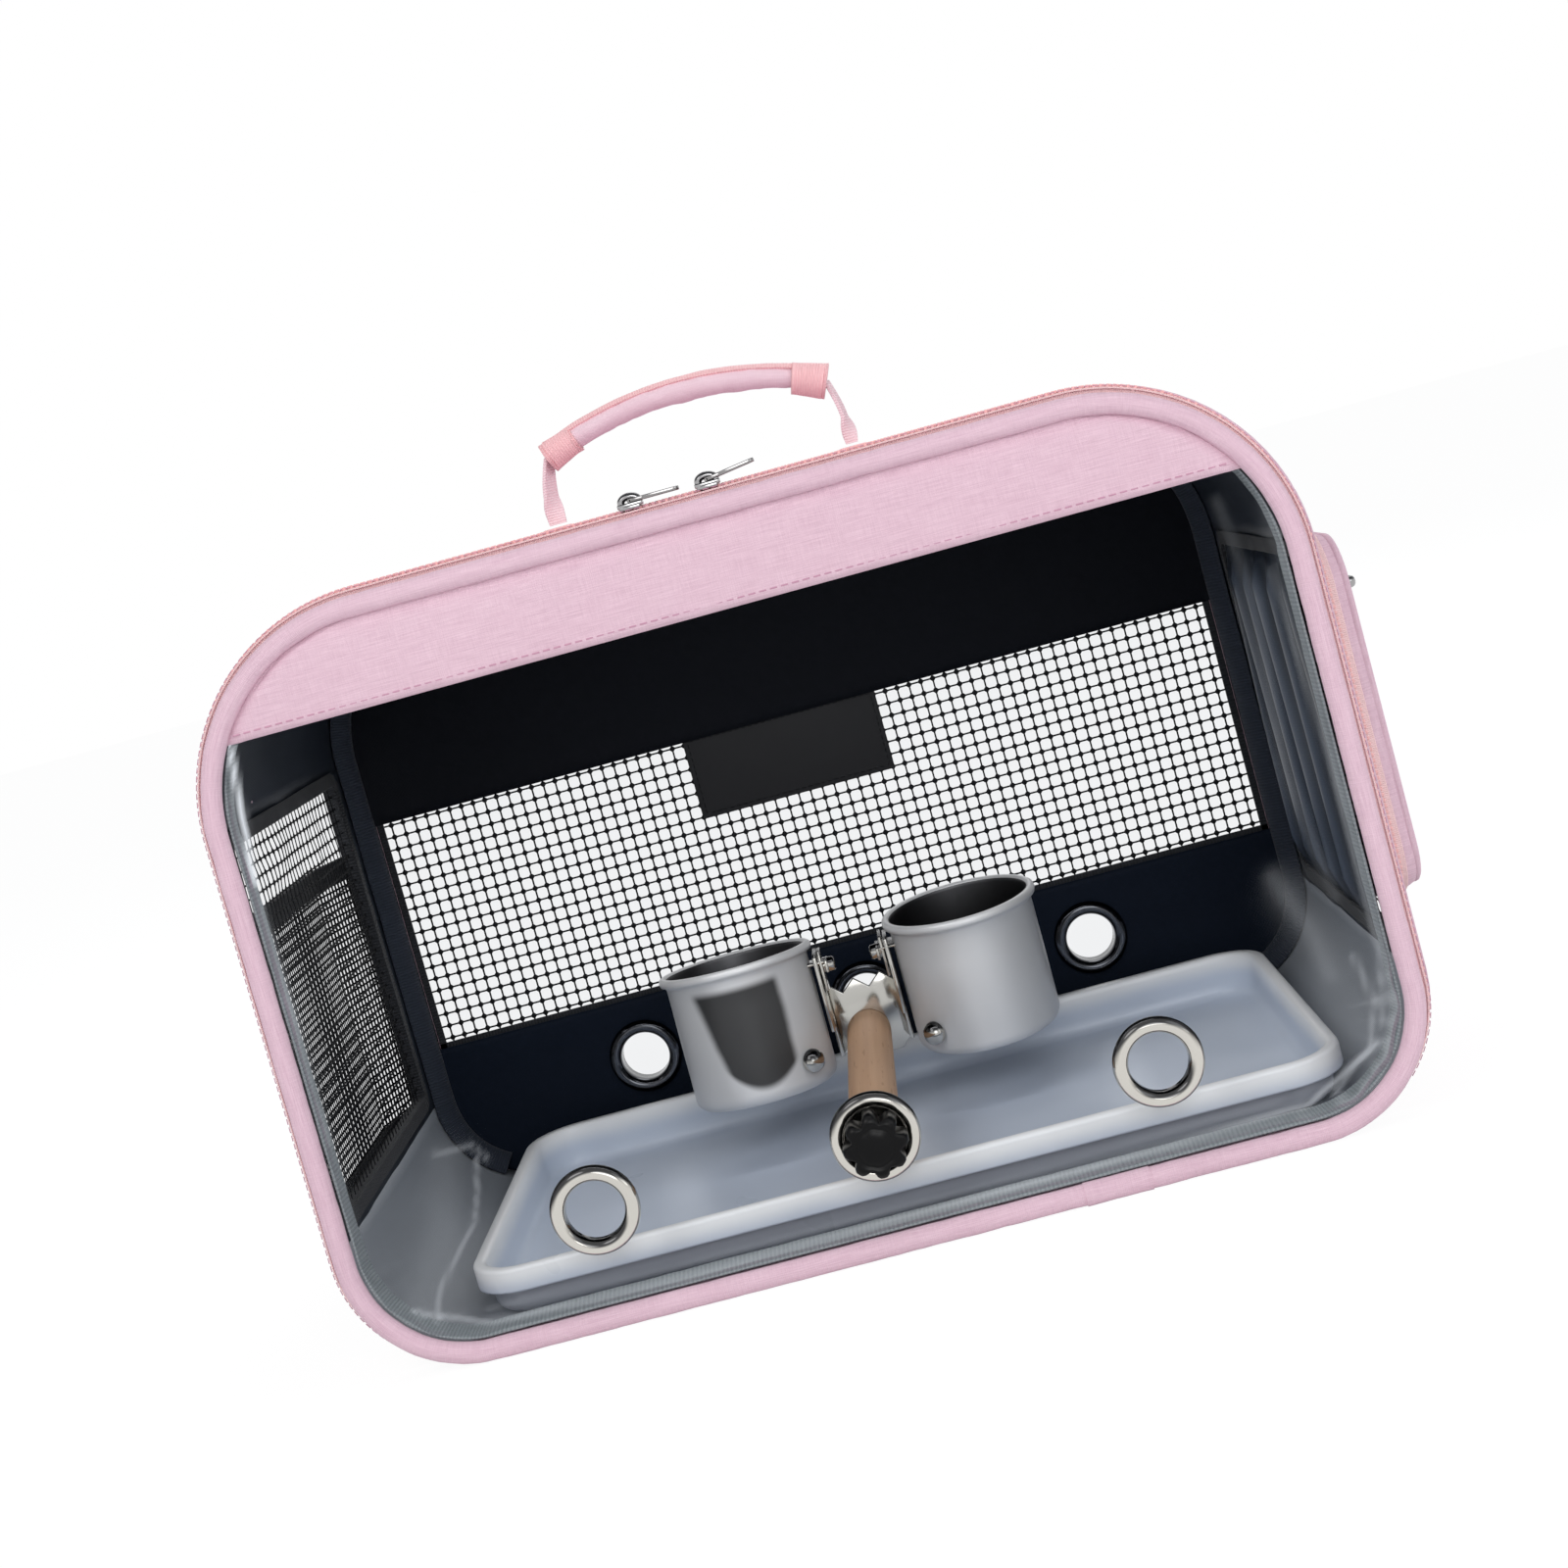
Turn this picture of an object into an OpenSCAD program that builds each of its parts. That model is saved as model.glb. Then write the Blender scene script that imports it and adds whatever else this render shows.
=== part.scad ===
// Soft-sided travel carrier for a small bird: zipped clear front, mesh windows, perch with two
// steel cups, pull-out tray, side pockets and a padded top handle.
// +X to the right, the clear front faces -Y, +Z up. The origin is the centre of the base on the floor.

/* [Case] */
// Width over the side walls
case_w = 408; // [340:1:480]
// Height of the case without its handle
case_h = 279; // [250:1:330]
// Depth from the front piping to the rear piping
case_d = 229; // [200:1:270]
// Outer radius of the two upper corners
corner_top = 74; // [60:1:90]
// Outer radius of the two lower corners
corner_low = 47; // [38:1:55]
// Thickness of the padded fabric walls
wall_t = 4; // [3:0.5:6]
// Thickness of the lining film
lining_t = 0.8; // [0.5:0.1:1.2]
// Diameter of the piping round the front and back edges
piping_d = 8; // [6:0.5:9]
// How far the piping lies inside the side walls
piping_in = 5; // [4:0.5:5.5]
// How far the zip stands out over the piping
zip_out = 2.5; // [2:0.1:3]
// Thickness of the fabric strip that hinges the front
hinge_t = 1.2; // [0.8:0.1:2]
// Gap left between pieces sewn or set together
seam_gap = 0.2; // [0.1:0.05:0.4]

/* [Clear front] */
// Thickness of the clear window film
film_t = 0.8; // [0.5:0.1:1.2]
// Height of the fabric band above the window
band_h = 42; // [30:1:60]
// Thickness of the fabric band
band_t = 1.3; // [0.8:0.1:2]
// Overlap of the window behind the band
band_lap = 4; // [2:0.5:8]
// Depth of the ribbed binding inside the front seam
binding_w = 8; // [5:0.5:8]
// Thickness of the ribbed binding
binding_t = 1.2; // [0.8:0.1:1.6]

/* [Main zip] */
// Width of each half of the zip tape
tape_w = 3.8; // [3:0.1:4]
// Thickness of the zip tape
tape_t = 1.2; // [0.8:0.1:1.4]
// Width of each row of teeth
teeth_w = 1.4; // [1:0.1:1.6]
// Thickness of the teeth
teeth_t = 2; // [1.6:0.1:2.4]
// Gap between the two rows of teeth
teeth_gap = 0.3; // [0.2:0.05:0.5]
// How far round the lower corners the zip runs, in degrees
zip_tail = 45; // [20:1:60]

/* [Zip sliders] */
// Length of a slider's body
slider_l = 9; // [8:0.5:12]
// Width of a slider's body
slider_w = 7.6; // [6.5:0.1:8.4]
// Thickness of a slider's top plate
slider_t = 1.2; // [1:0.1:1.6]
// Clearance between a slider and the teeth
slider_clear = 0.4; // [0.3:0.05:0.6]
// Inner height of the bridge that holds the pull
bridge_h = 2.2; // [2:0.1:3]
// Width of the bridge
bridge_w = 2.4; // [2:0.1:3]
// Length of a zip pull from its pivot
pull_l = 18; // [14:0.5:22]
// Width of a zip pull
pull_w = 5.6; // [5.2:0.1:7]
// Thickness of a zip pull
pull_t = 1.2; // [1:0.1:1.5]
// Place of the left slider along the top
left_slider_x = -24; // [-40:1:-20]
// Place of the right slider along the top
right_slider_x = 4; // [2:1:20]
// How far the right pull stands up from flat, in degrees
pull_rise = 8; // [0:1:12]

/* [Eyelets] */
// Bore of an eyelet
eyelet_bore = 21.3; // [18:0.1:24]
// Width of an eyelet's ring
eyelet_ring = 5.65; // [4.5:0.05:6]
// Wall of an eyelet's barrel
eyelet_wall = 0.85; // [0.6:0.05:1.2]
// Thickness of an eyelet's back washer
eyelet_washer_t = 1.2; // [0.8:0.1:1.6]
// Distance between neighbouring eyelets
eyelet_pitch = 103; // [80:1:120]
// Height of the eyelets above the floor
eyelet_z = 43.5; // [38:0.5:50]

/* [Perch] */
// Diameter of the wooden perch
perch_d = 18.5; // [16:0.5:20]
// Length of the wooden perch
perch_l = 149; // [120:1:155]
// Diameter of the perch bolt
bolt_d = 6; // [5:0.5:7]
// Depth of the bolt in the perch
bolt_in = 30; // [20:1:40]
// Clearance of the bolt in its holes
bolt_clear = 0.1; // [0.05:0.05:0.2]
// Diameter of the washer behind the eyelet
perch_washer_d = 28; // [26:0.5:32]
// Thickness of the washer behind the eyelet
perch_washer_t = 1.5; // [1:0.1:2.5]

/* [Star knob] */
// Diameter over the lobes
knob_d = 23.6; // [22.5:0.1:28]
// Length of the knob
knob_l = 12; // [10:0.5:16]
// Number of lobes
knob_lobes = 7; // [5:1:8]
// Radius of the hollow between two lobes
knob_hollow_r = 3; // [2:0.1:3.5]
// Running clearance between the knob and the eyelet
knob_gap = 0.4; // [0.3:0.05:0.8]
// Running clearance between the knob and the bolt
knob_clear = 0.1; // [0.05:0.05:0.3]

/* [Cup bracket] */
// Thickness of the stamped bracket
bracket_t = 1.6; // [1.2:0.1:2]
// Distance between the bracket's two flanges
bracket_w = 30; // [26:0.5:36]
// Sideways offset of the bracket from the perch
bracket_x = 2; // [0:0.5:3]
// Depth of the flanges in front of the bracket's plate
flange_d = 21.5; // [18:0.5:26]
// Height of the plate's lower edge
bracket_z0 = 33; // [31:0.5:34]
// Height of the plate's notched upper edge
bracket_z1 = 67; // [60:0.5:74]
// Height of the flanges that carry the cups
flange_z1 = 84; // [80:0.5:90]
// Diameter of the head of the screw behind the bracket
screw_head_d = 9; // [7:0.5:12]
// Thickness of the head of the screw behind the bracket
screw_head_t = 2.6; // [2:0.1:4]
// Diameter of the screw that holds the bracket
screw_d = 4; // [3:0.5:5]
// Length of the screw in the perch
screw_l = 18; // [12:1:25]

/* [Cups] */
// Diameter of a cup over its rim
rim_d = 65; // [60:0.5:70]
// Outer diameter of a cup's body
cup_d = 60; // [56:0.5:62]
// Height of a cup
cup_h = 56; // [45:1:58]
// Thickness of a cup's sheet
cup_t = 1; // [0.8:0.1:1.4]
// Height of a cup's rim above the floor
cup_rim_z = 89; // [88:0.5:95]
// Thickness of a hanger strap
strap_t = 1.2; // [0.8:0.1:1.5]
// Width of a hanger strap
strap_w = 13; // [10:0.5:16]
// Clearance of a hanger on its flange
hang_clear = 0.6; // [0.5:0.05:0.8]
// Clearance over the top of a flange
hook_clear = 1; // [0.9:0.05:1.5]
// Lean of the left cup to the back, in degrees
lean_left = 5; // [0:0.5:6]
// Lean of the right cup to the front, in degrees
lean_right = 3; // [0:0.5:5]

/* [Tray] */
// Distance from the case's left side to the tray's rim
tray_left = 44; // [40:1:70]
// Distance from the case's right side to the tray's rim
tray_right = 33; // [32:1:70]
// Depth of the tray over its rim
tray_d = 188; // [150:1:192]
// How far the tray's underside steps in
tray_foot = 5; // [5:0.5:8]
// Height of the step under the tray
tray_step = 1.2; // [1:0.1:1.6]
// Height of the tray
tray_h = 20; // [16:0.5:24]
// Wall thickness of the tray
tray_t = 1.8; // [1.2:0.1:2.5]
// Width of the tray's rim
tray_rim = 5; // [4:0.5:8]
// Depth of the lip turned down from the rim
tray_lip = 9; // [6:0.5:11]
// Corner radius of the tray
tray_r = 22; // [14:1:30]
// Clearance under the tray
tray_gap = 0.3; // [0.2:0.05:0.5]

/* [Mesh windows] */
// Thickness of the mesh
mesh_t = 0.8; // [0.6:0.1:1.2]
// Width of a mesh thread
thread_w = 1.2; // [0.8:0.1:1.6]
// Mesh openings across the back window
back_nx = 32; // [12:1:32]
// Mesh openings up the back window
back_nz = 9; // [4:1:9]
// Lower edge of the back window
back_win_z0 = 70; // [66:1:90]
// Upper edge of the back window
back_win_z1 = 177; // [150:1:185]
// Length of the side windows
side_win_l = 168; // [140:1:172]
// Lower edge of the side windows
side_win_z0 = 55; // [54:1:65]
// Upper edge of the side windows
side_win_z1 = 200; // [190:1:202]
// Mesh openings along a side window
side_nx = 14; // [8:1:14]
// Mesh openings up a side window
side_nz = 12; // [6:1:12]

/* [Back panel] */
// Thickness of the back's outer fabric
back_t = 3; // [2:0.1:3.4]
// Width of the bare patch at the back window
patch_w = 88; // [60:1:110]
// Height of the bare patch
patch_h = 37; // [25:1:45]
// Thickness of the bare patch
patch_t = 1.6; // [1:0.1:2]
// Sideways place of the patch's centre
patch_x = -5; // [-20:1:20]

/* [Side pockets] */
// Depth of the net pocket on the left wall
net_pocket_d = 10; // [8:0.5:14]
// Length of the net pocket
net_pocket_l = 186; // [176:1:190]
// How far each end of the net pocket slopes back to the wall
net_pocket_taper = 33; // [24:1:40]
// Height of the net pocket's elastic hem
hem_h = 10; // [8:0.5:12]
// Thickness of the elastic hem
hem_t = 2; // [1.6:0.1:2.6]
// Height of the hem's upper edge above the floor
hem_z = 168; // [150:1:175]
// Thickness of the pocket's side and bottom strips
gusset_t = 1.2; // [0.8:0.1:2]
// Lower edge of the zipped pocket on the right wall
zip_pocket_z0 = 62; // [58:1:70]
// Upper edge of the zipped pocket on the right wall
zip_pocket_z1 = 203; // [190:1:204]
// Front edge of the zipped pocket
zip_pocket_y0 = -52; // [-70:1:-40]
// Rear edge of the zipped pocket
zip_pocket_y1 = 88; // [80:1:96]
// How far the zipped pocket stands out
zip_pocket_d = 18; // [12:0.5:22]
// How far the zipped pocket's sides slope in
zip_pocket_slope = 12; // [8:0.5:14]
// Corner radius of the zipped pocket
zip_pocket_r = 20; // [16:1:28]
// Width of the pocket's zip tape
pocket_tape_w = 14; // [11:0.5:18]
// Length of the pocket's zip
pocket_zip_l = 96; // [80:1:100]

/* [Handle] */
// Radius of the grip's arch along its middle
grip_arc = 146; // [120:1:180]
// Diameter of the padded grip
grip_d = 13; // [11:0.5:14]
// Half angle of the grip's arch
grip_half = 22; // [18:0.5:24]
// Sideways place of the handle's centre
grip_x = -2.7; // [-10:0.1:10]
// Height of the grip's middle above the top of the case
grip_rise = 39.5; // [38:0.5:50]
// Thickness of the handle webbing
web_t = 1.4; // [1:0.1:1.8]
// Width of the webbing along the grip
web_w = 15; // [10:0.5:20]
// Length of the wrap at each end of the grip, in degrees of the arch
wrap_a = 5; // [3:0.5:6]
// Width of a webbing leg where it is sewn on
leg_w = 10; // [8:0.5:14]
// Thickness of a webbing leg
leg_t = 1.8; // [1.4:0.1:2.2]
// Thickness of the webbing patches on the top
tab_t = 1.6; // [1:0.1:2]
// Clearance under the hinge line of the legs
leg_gap = 0.4; // [0.3:0.05:0.6]

/* [Hidden] */
$fn = 64;

pink = [0.91, 0.75, 0.82];
peach = [0.95, 0.72, 0.71];
black = [0.04, 0.05, 0.06];
grey = [0.35, 0.37, 0.4];
steel = [0.72, 0.72, 0.73];

piping_r = piping_d / 2;
hw = case_w / 2;                       // half width over the walls
phw = hw - piping_in;                  // half width over the piping
zhw = phw + zip_out;                   // half width over the zip
pipe_h = case_h - zip_out;             // top of the piping
pipe_top = corner_top - zip_out;       // outer radius of the piping's upper corners
front_y = -case_d / 2 + piping_r;      // plane of the front seam
rear_y = case_d / 2 - piping_r;        // plane of the rear seam
inset = piping_d + seam_gap;           // edge of the flat panels inside the piping
chord = piping_r - tape_t;             // where the tape meets the back of the piping
tape_y0 = front_y + sqrt(piping_r * piping_r - chord * chord) + 0.05;
row1_y0 = tape_y0 + tape_w;            // front row of teeth
row2_y0 = row1_y0 + teeth_w + teeth_gap;
tape2_y0 = row2_y0 + teeth_w;
wall_y0 = tape2_y0 + tape_w;           // front edge of the walls
wall_y1 = rear_y - piping_r - seam_gap / 2; // rear edge of the walls
in_hw = hw - wall_t;                   // half width inside the walls
tray_w = case_w - tray_left - tray_right; // width of the tray over its rim
tray_x = (tray_left - tray_right) / 2; // sideways place of the tray's centre
back_film_y = rear_y - piping_r - seam_gap - lining_t; // front face of the back's lining
floor_z = wall_t + lining_t;

// 2D outline with rounded corners, standing on z0
module quarter(r, a) rotate(a) intersection() { circle(r); square(r); }
module outline(w2, z0, z1, rt, rl) {
    translate([-w2, z0 + rl]) square([2 * w2, z1 - rt - z0 - rl]);
    translate([-w2 + rl, z0]) square([2 * (w2 - rl), rl]);
    translate([-w2 + rt, z1 - rt]) square([2 * (w2 - rt), rt]);
    for (s = [0, 1]) {
        translate([(1 - 2 * s) * (w2 - rt), z1 - rt]) quarter(rt, s * 90);
        translate([(2 * s - 1) * (w2 - rl), z0 + rl]) quarter(rl, 180 + s * 90);
    }
}
module along_y(y0, y1) translate([0, y1, 0]) rotate([90, 0, 0]) linear_extrude(y1 - y0) children();
module disc_y(x, z, r, y0, y1) translate([x, y1, z]) rotate([90, 0, 0]) cylinder(r = r, h = y1 - y0);
module disc_x(y, z, r, x0, x1) translate([x0, y, z]) rotate([0, 90, 0]) cylinder(r = r, h = x1 - x0);

// flat panel inside the piping
module panel(y0, y1) along_y(y0, y1)
    outline(phw - inset, inset, pipe_h - inset, pipe_top - inset, corner_low - inset);

// curved strip of the wall round a corner
module bend(cx, cz, r, t, y0, y1, a0, da)
    translate([cx, y1, cz]) rotate([90, 0, 0]) rotate([0, 0, a0])
        rotate_extrude(angle = da) translate([r - t, 0]) square([t, y1 - y0]);
// strip that follows the case's outline; w2 is its outer half width, d how far it lies inside
module side_run(w2, t, d, y0, y1) for (s = [-1, 1])
    translate([s > 0 ? w2 - d - t : -w2 + d, y0, corner_low])
        cube([t, y1 - y0, case_h - corner_top - corner_low]);
module top_run(w2, t, d, y0, y1) {
    translate([-w2 + corner_top, y0, case_h - d - t]) cube([2 * (w2 - corner_top), y1 - y0, t]);
    for (s = [0, 1]) bend((1 - 2 * s) * (w2 - corner_top), case_h - corner_top,
        corner_top - d, t, y0, y1, s * 90, 90);
}
module low_run(w2, t, d, y0, y1) {
    translate([-w2 + corner_low, y0, d]) cube([2 * (w2 - corner_low), y1 - y0, t]);
    for (s = [0, 1]) bend((2 * s - 1) * (w2 - corner_low), corner_low,
        corner_low - d, t, y0, y1, 180 + s * 90, 90);
}
module zip_run(w2, t, d, y0, y1) {
    c = w2 - corner_low;
    u = 2 * corner_low * cos(zip_tail);
    v = 2 * corner_low * sin(zip_tail);
    along_y(y0, y1) difference() {
        outline(w2 - d, d, case_h - d, corner_top - d, corner_low - d);
        outline(w2 - d - t, d + t, case_h - d - t, corner_top - d - t, corner_low - d - t);
        polygon([[-c, corner_low], [-c - u, corner_low - v], [-c - u, -v], [c + u, -v],
            [c + u, corner_low - v], [c, corner_low]]);
    }
}
// round piping that follows the case's outline
module piping(y) {
    r = piping_r;
    for (s = [-1, 1]) translate([s * (phw - r), y, corner_low])
        cylinder(r = r, h = pipe_h - pipe_top - corner_low);
    disc_x(y, pipe_h - r, r, -phw + pipe_top, phw - pipe_top);
    disc_x(y, r, r, -phw + corner_low, phw - corner_low);
    for (s = [0, 1]) {
        translate([(1 - 2 * s) * (phw - pipe_top), y, pipe_h - pipe_top]) rotate([90, 0, 0])
            rotate([0, 0, s * 90]) rotate_extrude(angle = 90) translate([pipe_top - r, 0]) circle(r);
        translate([(2 * s - 1) * (phw - corner_low), y, corner_low]) rotate([90, 0, 0])
            rotate([0, 0, 180 + s * 90]) rotate_extrude(angle = 90) translate([corner_low - r, 0]) circle(r);
    }
}

// ---- walls and lining
module top_panel() color(pink) top_run(hw, wall_t, 0, wall_y0, wall_y1);
module bottom_panel() color(pink) low_run(hw, wall_t, 0, wall_y0, wall_y1);
module side_wall(x, t, z0, z1) difference() {
    translate([x, wall_y0, z0]) cube([t, wall_y1 - wall_y0, z1 - z0]);
    translate([x - 1, -side_win_l / 2, side_win_z0]) cube([t + 2, side_win_l, side_win_z1 - side_win_z0]);
}
module left_panel() color(pink) side_wall(-hw, wall_t, corner_low, case_h - corner_top);
module right_panel() color(pink) side_wall(in_hw, wall_t, corner_low, case_h - corner_top);
module floor_lining() color(grey) low_run(hw, lining_t, wall_t, wall_y0, back_film_y - seam_gap / 2);
module wall_lining() color(black) {
    y1 = back_film_y - seam_gap / 2;
    difference() {
        union() {
            top_run(hw, lining_t, wall_t, wall_y0, y1);
            side_run(hw, lining_t, wall_t, wall_y0, y1);
        }
        translate([-hw, -side_win_l / 2, side_win_z0])
            cube([2 * hw, side_win_l, side_win_z1 - side_win_z0]);
    }
}

// ---- back
back_y0 = rear_y - back_t / 2;         // front face of the outer fabric
eye_r = eyelet_bore / 2;
hole_r = eye_r + eyelet_wall + seam_gap;
module eyelet_holes(y0, y1) for (i = [-1, 0, 1]) disc_y(i * eyelet_pitch, eyelet_z, hole_r, y0, y1);
module back_panel_lower() color(pink) difference() {
    intersection() {
        panel(back_y0, back_y0 + back_t);
        translate([-hw, back_y0 - 1, 0]) cube([2 * hw, back_t + 2, back_win_z0]);
    }
    eyelet_holes(back_y0 - 1, back_y0 + back_t + 1);
}
module back_panel_upper() color(pink) intersection() {
    panel(back_y0, back_y0 + back_t);
    translate([-hw, back_y0 - 1, back_win_z1]) cube([2 * hw, back_t + 2, case_h]);
}
module back_film() along_y(back_film_y, back_film_y + lining_t)
    outline(in_hw - seam_gap, wall_t + seam_gap, case_h - wall_t - seam_gap,
        corner_top - wall_t - seam_gap, corner_low - wall_t - seam_gap);
module back_lining_lower() color([0.06, 0.09, 0.15]) difference() {
    intersection() {
        back_film();
        translate([-hw, 0, 0]) cube([2 * hw, case_d, back_win_z0]);
    }
    eyelet_holes(back_film_y - 1, wall_y1 + 1);
}
module back_lining_upper() color(black) difference() {
    intersection() {
        back_film();
        translate([-hw, 0, back_win_z0]) cube([2 * hw, case_d, case_h]);
    }
    translate([-phw + inset + 1, 0, back_win_z0 - 1])
        cube([2 * (phw - inset - 1), case_d, back_win_z1 - back_win_z0 + 1]);
}
module back_piping() color(pink) piping(rear_y);

// net with nx by nz square openings, drawn flat
module net(w, h, nx, nz) difference() {
    square([w, h]);
    for (i = [0 : nx - 1], j = [0 : nz - 1])
        translate([thread_w + i * (w - thread_w) / nx, thread_w + j * (h - thread_w) / nz])
            square([(w - thread_w) / nx - thread_w, (h - thread_w) / nz - thread_w]);
}
mesh_y = back_y0 - 2.5 * seam_gap - mesh_t;
module back_mesh() color(black) translate([-phw + inset, 0, back_win_z0 - 2]) along_y(mesh_y, mesh_y + mesh_t)
    net(2 * (phw - inset), back_win_z1 - back_win_z0 + 4, back_nx, back_nz);
module side_net(x, y, w, z0, z1, nx, nz) translate([x, y, z0]) rotate([90, 0, 90])
    linear_extrude(mesh_t) net(w, z1 - z0, nx, nz);
module left_mesh() color(black)
    side_net(-in_hw - lining_t - mesh_t, -side_win_l / 2, side_win_l, side_win_z0, side_win_z1, side_nx, side_nz);
module right_mesh() color(black)
    side_net(in_hw + lining_t, -side_win_l / 2, side_win_l, side_win_z0, side_win_z1, side_nx, side_nz);
module rear_patch() color([0.13, 0.13, 0.14])
    translate([patch_x - patch_w / 2, mesh_y - seam_gap / 2 - patch_t, back_win_z1 - 0.4 - patch_h])
        cube([patch_w, patch_t, patch_h]);

// ---- eyelets: a rolled front ring, a barrel and a back washer; y0..y1 is the cloth they grip
module eyelet(i, y0, y1) color(steel) translate([i * eyelet_pitch, y1 + seam_gap + eyelet_washer_t, eyelet_z])
    rotate([90, 0, 0]) {
        l = y1 - y0 + 2 * seam_gap + eyelet_washer_t;
        rr = eyelet_ring / 2;
        rotate_extrude() {
            translate([eye_r, 0]) square([eyelet_wall, l]);
            translate([eye_r, 0]) square([eyelet_ring - 0.4, eyelet_washer_t]);
            translate([eye_r + rr, l]) intersection() {
                circle(rr);
                translate([-rr, 0]) square([2 * rr, rr]);
            }
        }
    }
module rear_eyelet_left() eyelet(-1, back_film_y, back_y0 + back_t);
module rear_eyelet_centre() eyelet(0, back_film_y, back_y0 + back_t);
module rear_eyelet_right() eyelet(1, back_film_y, back_y0 + back_t);

// ---- main zip
proud = (teeth_t - tape_t) / 2;        // how far the teeth stand above the tape
module body_zip_tape() color(peach) zip_run(zhw, tape_t, 0, tape2_y0, wall_y0);
module body_zip_teeth() color(peach) zip_run(zhw, teeth_t, -proud, row2_y0, tape2_y0);
// the front tape turns in behind the piping, which it is sewn to
module front_zip_tape() color(peach) {
    y = front_y + piping_r + seam_gap / 2;
    zip_run(zhw, tape_t, 0, tape_y0, row1_y0);
    zip_run(zhw, zip_out + piping_r, 0, y, y + tape_t);
}
module front_zip_teeth() color(peach) zip_run(zhw, teeth_t, -proud, row1_y0, row1_y0 + teeth_w);
module hinge_strip() color(pink)
    translate([-phw + corner_low, front_y + piping_r + seam_gap, 0])
        cube([2 * (phw - corner_low), wall_y0 - front_y - piping_r - seam_gap, hinge_t]);

// ---- zip slider and pull, drawn with the zip along x and the cloth at z = 0
slide_z = proud + slider_clear;        // underside of the slider over the tape
bridge_x = 3;                          // half length of the bridge
pivot_z = slide_z + slider_t + bridge_h / 2;
module slider_body() color(steel) {
    translate([-slider_l / 2, -slider_w / 2, slide_z]) cube([slider_l, slider_w, slider_t]);
    for (s = [-1, 1]) translate([s > 0 ? bridge_x - 1.1 : -bridge_x, -bridge_w / 2, slide_z + slider_t])
        cube([1.1, bridge_w, bridge_h]);
    translate([-bridge_x, -bridge_w / 2, slide_z + slider_t + bridge_h]) cube([2 * bridge_x, bridge_w, 1.1]);
}
module pull(rise) color(steel) translate([0, 0, pivot_z]) rotate([0, -rise, 0]) {
    arm = (pull_w - bridge_w - 1) / 2;
    reach = sqrt(bridge_x * bridge_x + (bridge_h / 2 + 1.1) * (bridge_h / 2 + 1.1)) + 0.6;
    translate([0, pull_w / 2, 0]) rotate([90, 0, 0]) cylinder(d = pull_t, h = pull_w);
    for (s = [0, 1]) translate([0, s > 0 ? pull_w / 2 - arm : -pull_w / 2, -pull_t / 2])
        cube([reach + 0.5, arm, pull_t]);
    difference() {
        union() {
            translate([reach, -pull_w / 2, -pull_t / 2]) cube([pull_l - reach - pull_w / 2, pull_w, pull_t]);
            translate([pull_l - pull_w / 2, 0, -pull_t / 2]) cylinder(d = pull_w, h = pull_t);
        }
        translate([pull_l - pull_w / 2, 0, -pull_t]) cylinder(d = pull_w * 0.4, h = 2 * pull_t);
    }
}
zip_y = (row1_y0 + tape2_y0) / 2;      // middle of the main zip
module slider_left() translate([left_slider_x, zip_y, case_h]) slider_body();
module pull_left() translate([left_slider_x, zip_y, case_h]) pull(0);
module slider_right() translate([right_slider_x, zip_y, case_h]) slider_body();
module pull_right() translate([right_slider_x, zip_y, case_h]) pull(pull_rise);

// ---- clear front
film_y = front_y - film_t / 2;
band_y = film_y - seam_gap / 2 - band_t;
band_z = case_h - band_h;
module front_piping() color(pink) piping(front_y);
module front_window() color([0.8, 0.85, 0.9, 0.3]) difference() {
    intersection() {
        panel(film_y, film_y + film_t);
        translate([-hw, film_y - 1, 0]) cube([2 * hw, film_t + 2, band_z + band_lap]);
    }
    eyelet_holes(film_y - 1, film_y + film_t + 1);
}
module front_band() color(pink) intersection() {
    panel(band_y, band_y + band_t);
    translate([-hw, band_y - 1, band_z]) cube([2 * hw, band_t + 2, case_h]);
}
module front_binding() color([0.43, 0.46, 0.48]) {
    y0 = film_y + film_t + seam_gap;
    low_run(phw, binding_t, inset, y0, y0 + binding_w);
    side_run(zhw, binding_t, inset + zip_out, y0, y0 + binding_w);
    top_run(zhw, binding_t, inset + zip_out, y0, y0 + binding_w);
}
module front_eyelet_left() eyelet(-1, film_y, film_y + film_t);
module front_eyelet_centre() eyelet(0, film_y, film_y + film_t);
module front_eyelet_right() eyelet(1, film_y, film_y + film_t);

// ---- perch
washer_y = film_y + film_t + 2 * seam_gap + eyelet_washer_t;
perch_y0 = washer_y + perch_washer_t + seam_gap / 2;
perch_y1 = perch_y0 + perch_l;
knob_y1 = film_y - seam_gap - eyelet_ring / 2 - knob_gap;
knob_y0 = knob_y1 - knob_l;
module perch_washer() color(steel) difference() {
    disc_y(0, eyelet_z, perch_washer_d / 2, washer_y, washer_y + perch_washer_t);
    disc_y(0, eyelet_z, bolt_d / 2 + bolt_clear, washer_y - 1, washer_y + perch_washer_t + 1);
}
module perch_bolt() color(steel) disc_y(0, eyelet_z, bolt_d / 2, knob_y0 + 3.2, perch_y0 + bolt_in);
module perch_dowel() color([0.61, 0.49, 0.39]) difference() {
    disc_y(0, eyelet_z, perch_d / 2, perch_y0, perch_y1);
    disc_y(0, eyelet_z, bolt_d / 2 + bolt_clear, perch_y0 - 1, perch_y0 + bolt_in + 1);
    disc_y(0, eyelet_z, screw_d / 2 + bolt_clear, perch_y1 - screw_l - 1, perch_y1 + 1);
}
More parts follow.
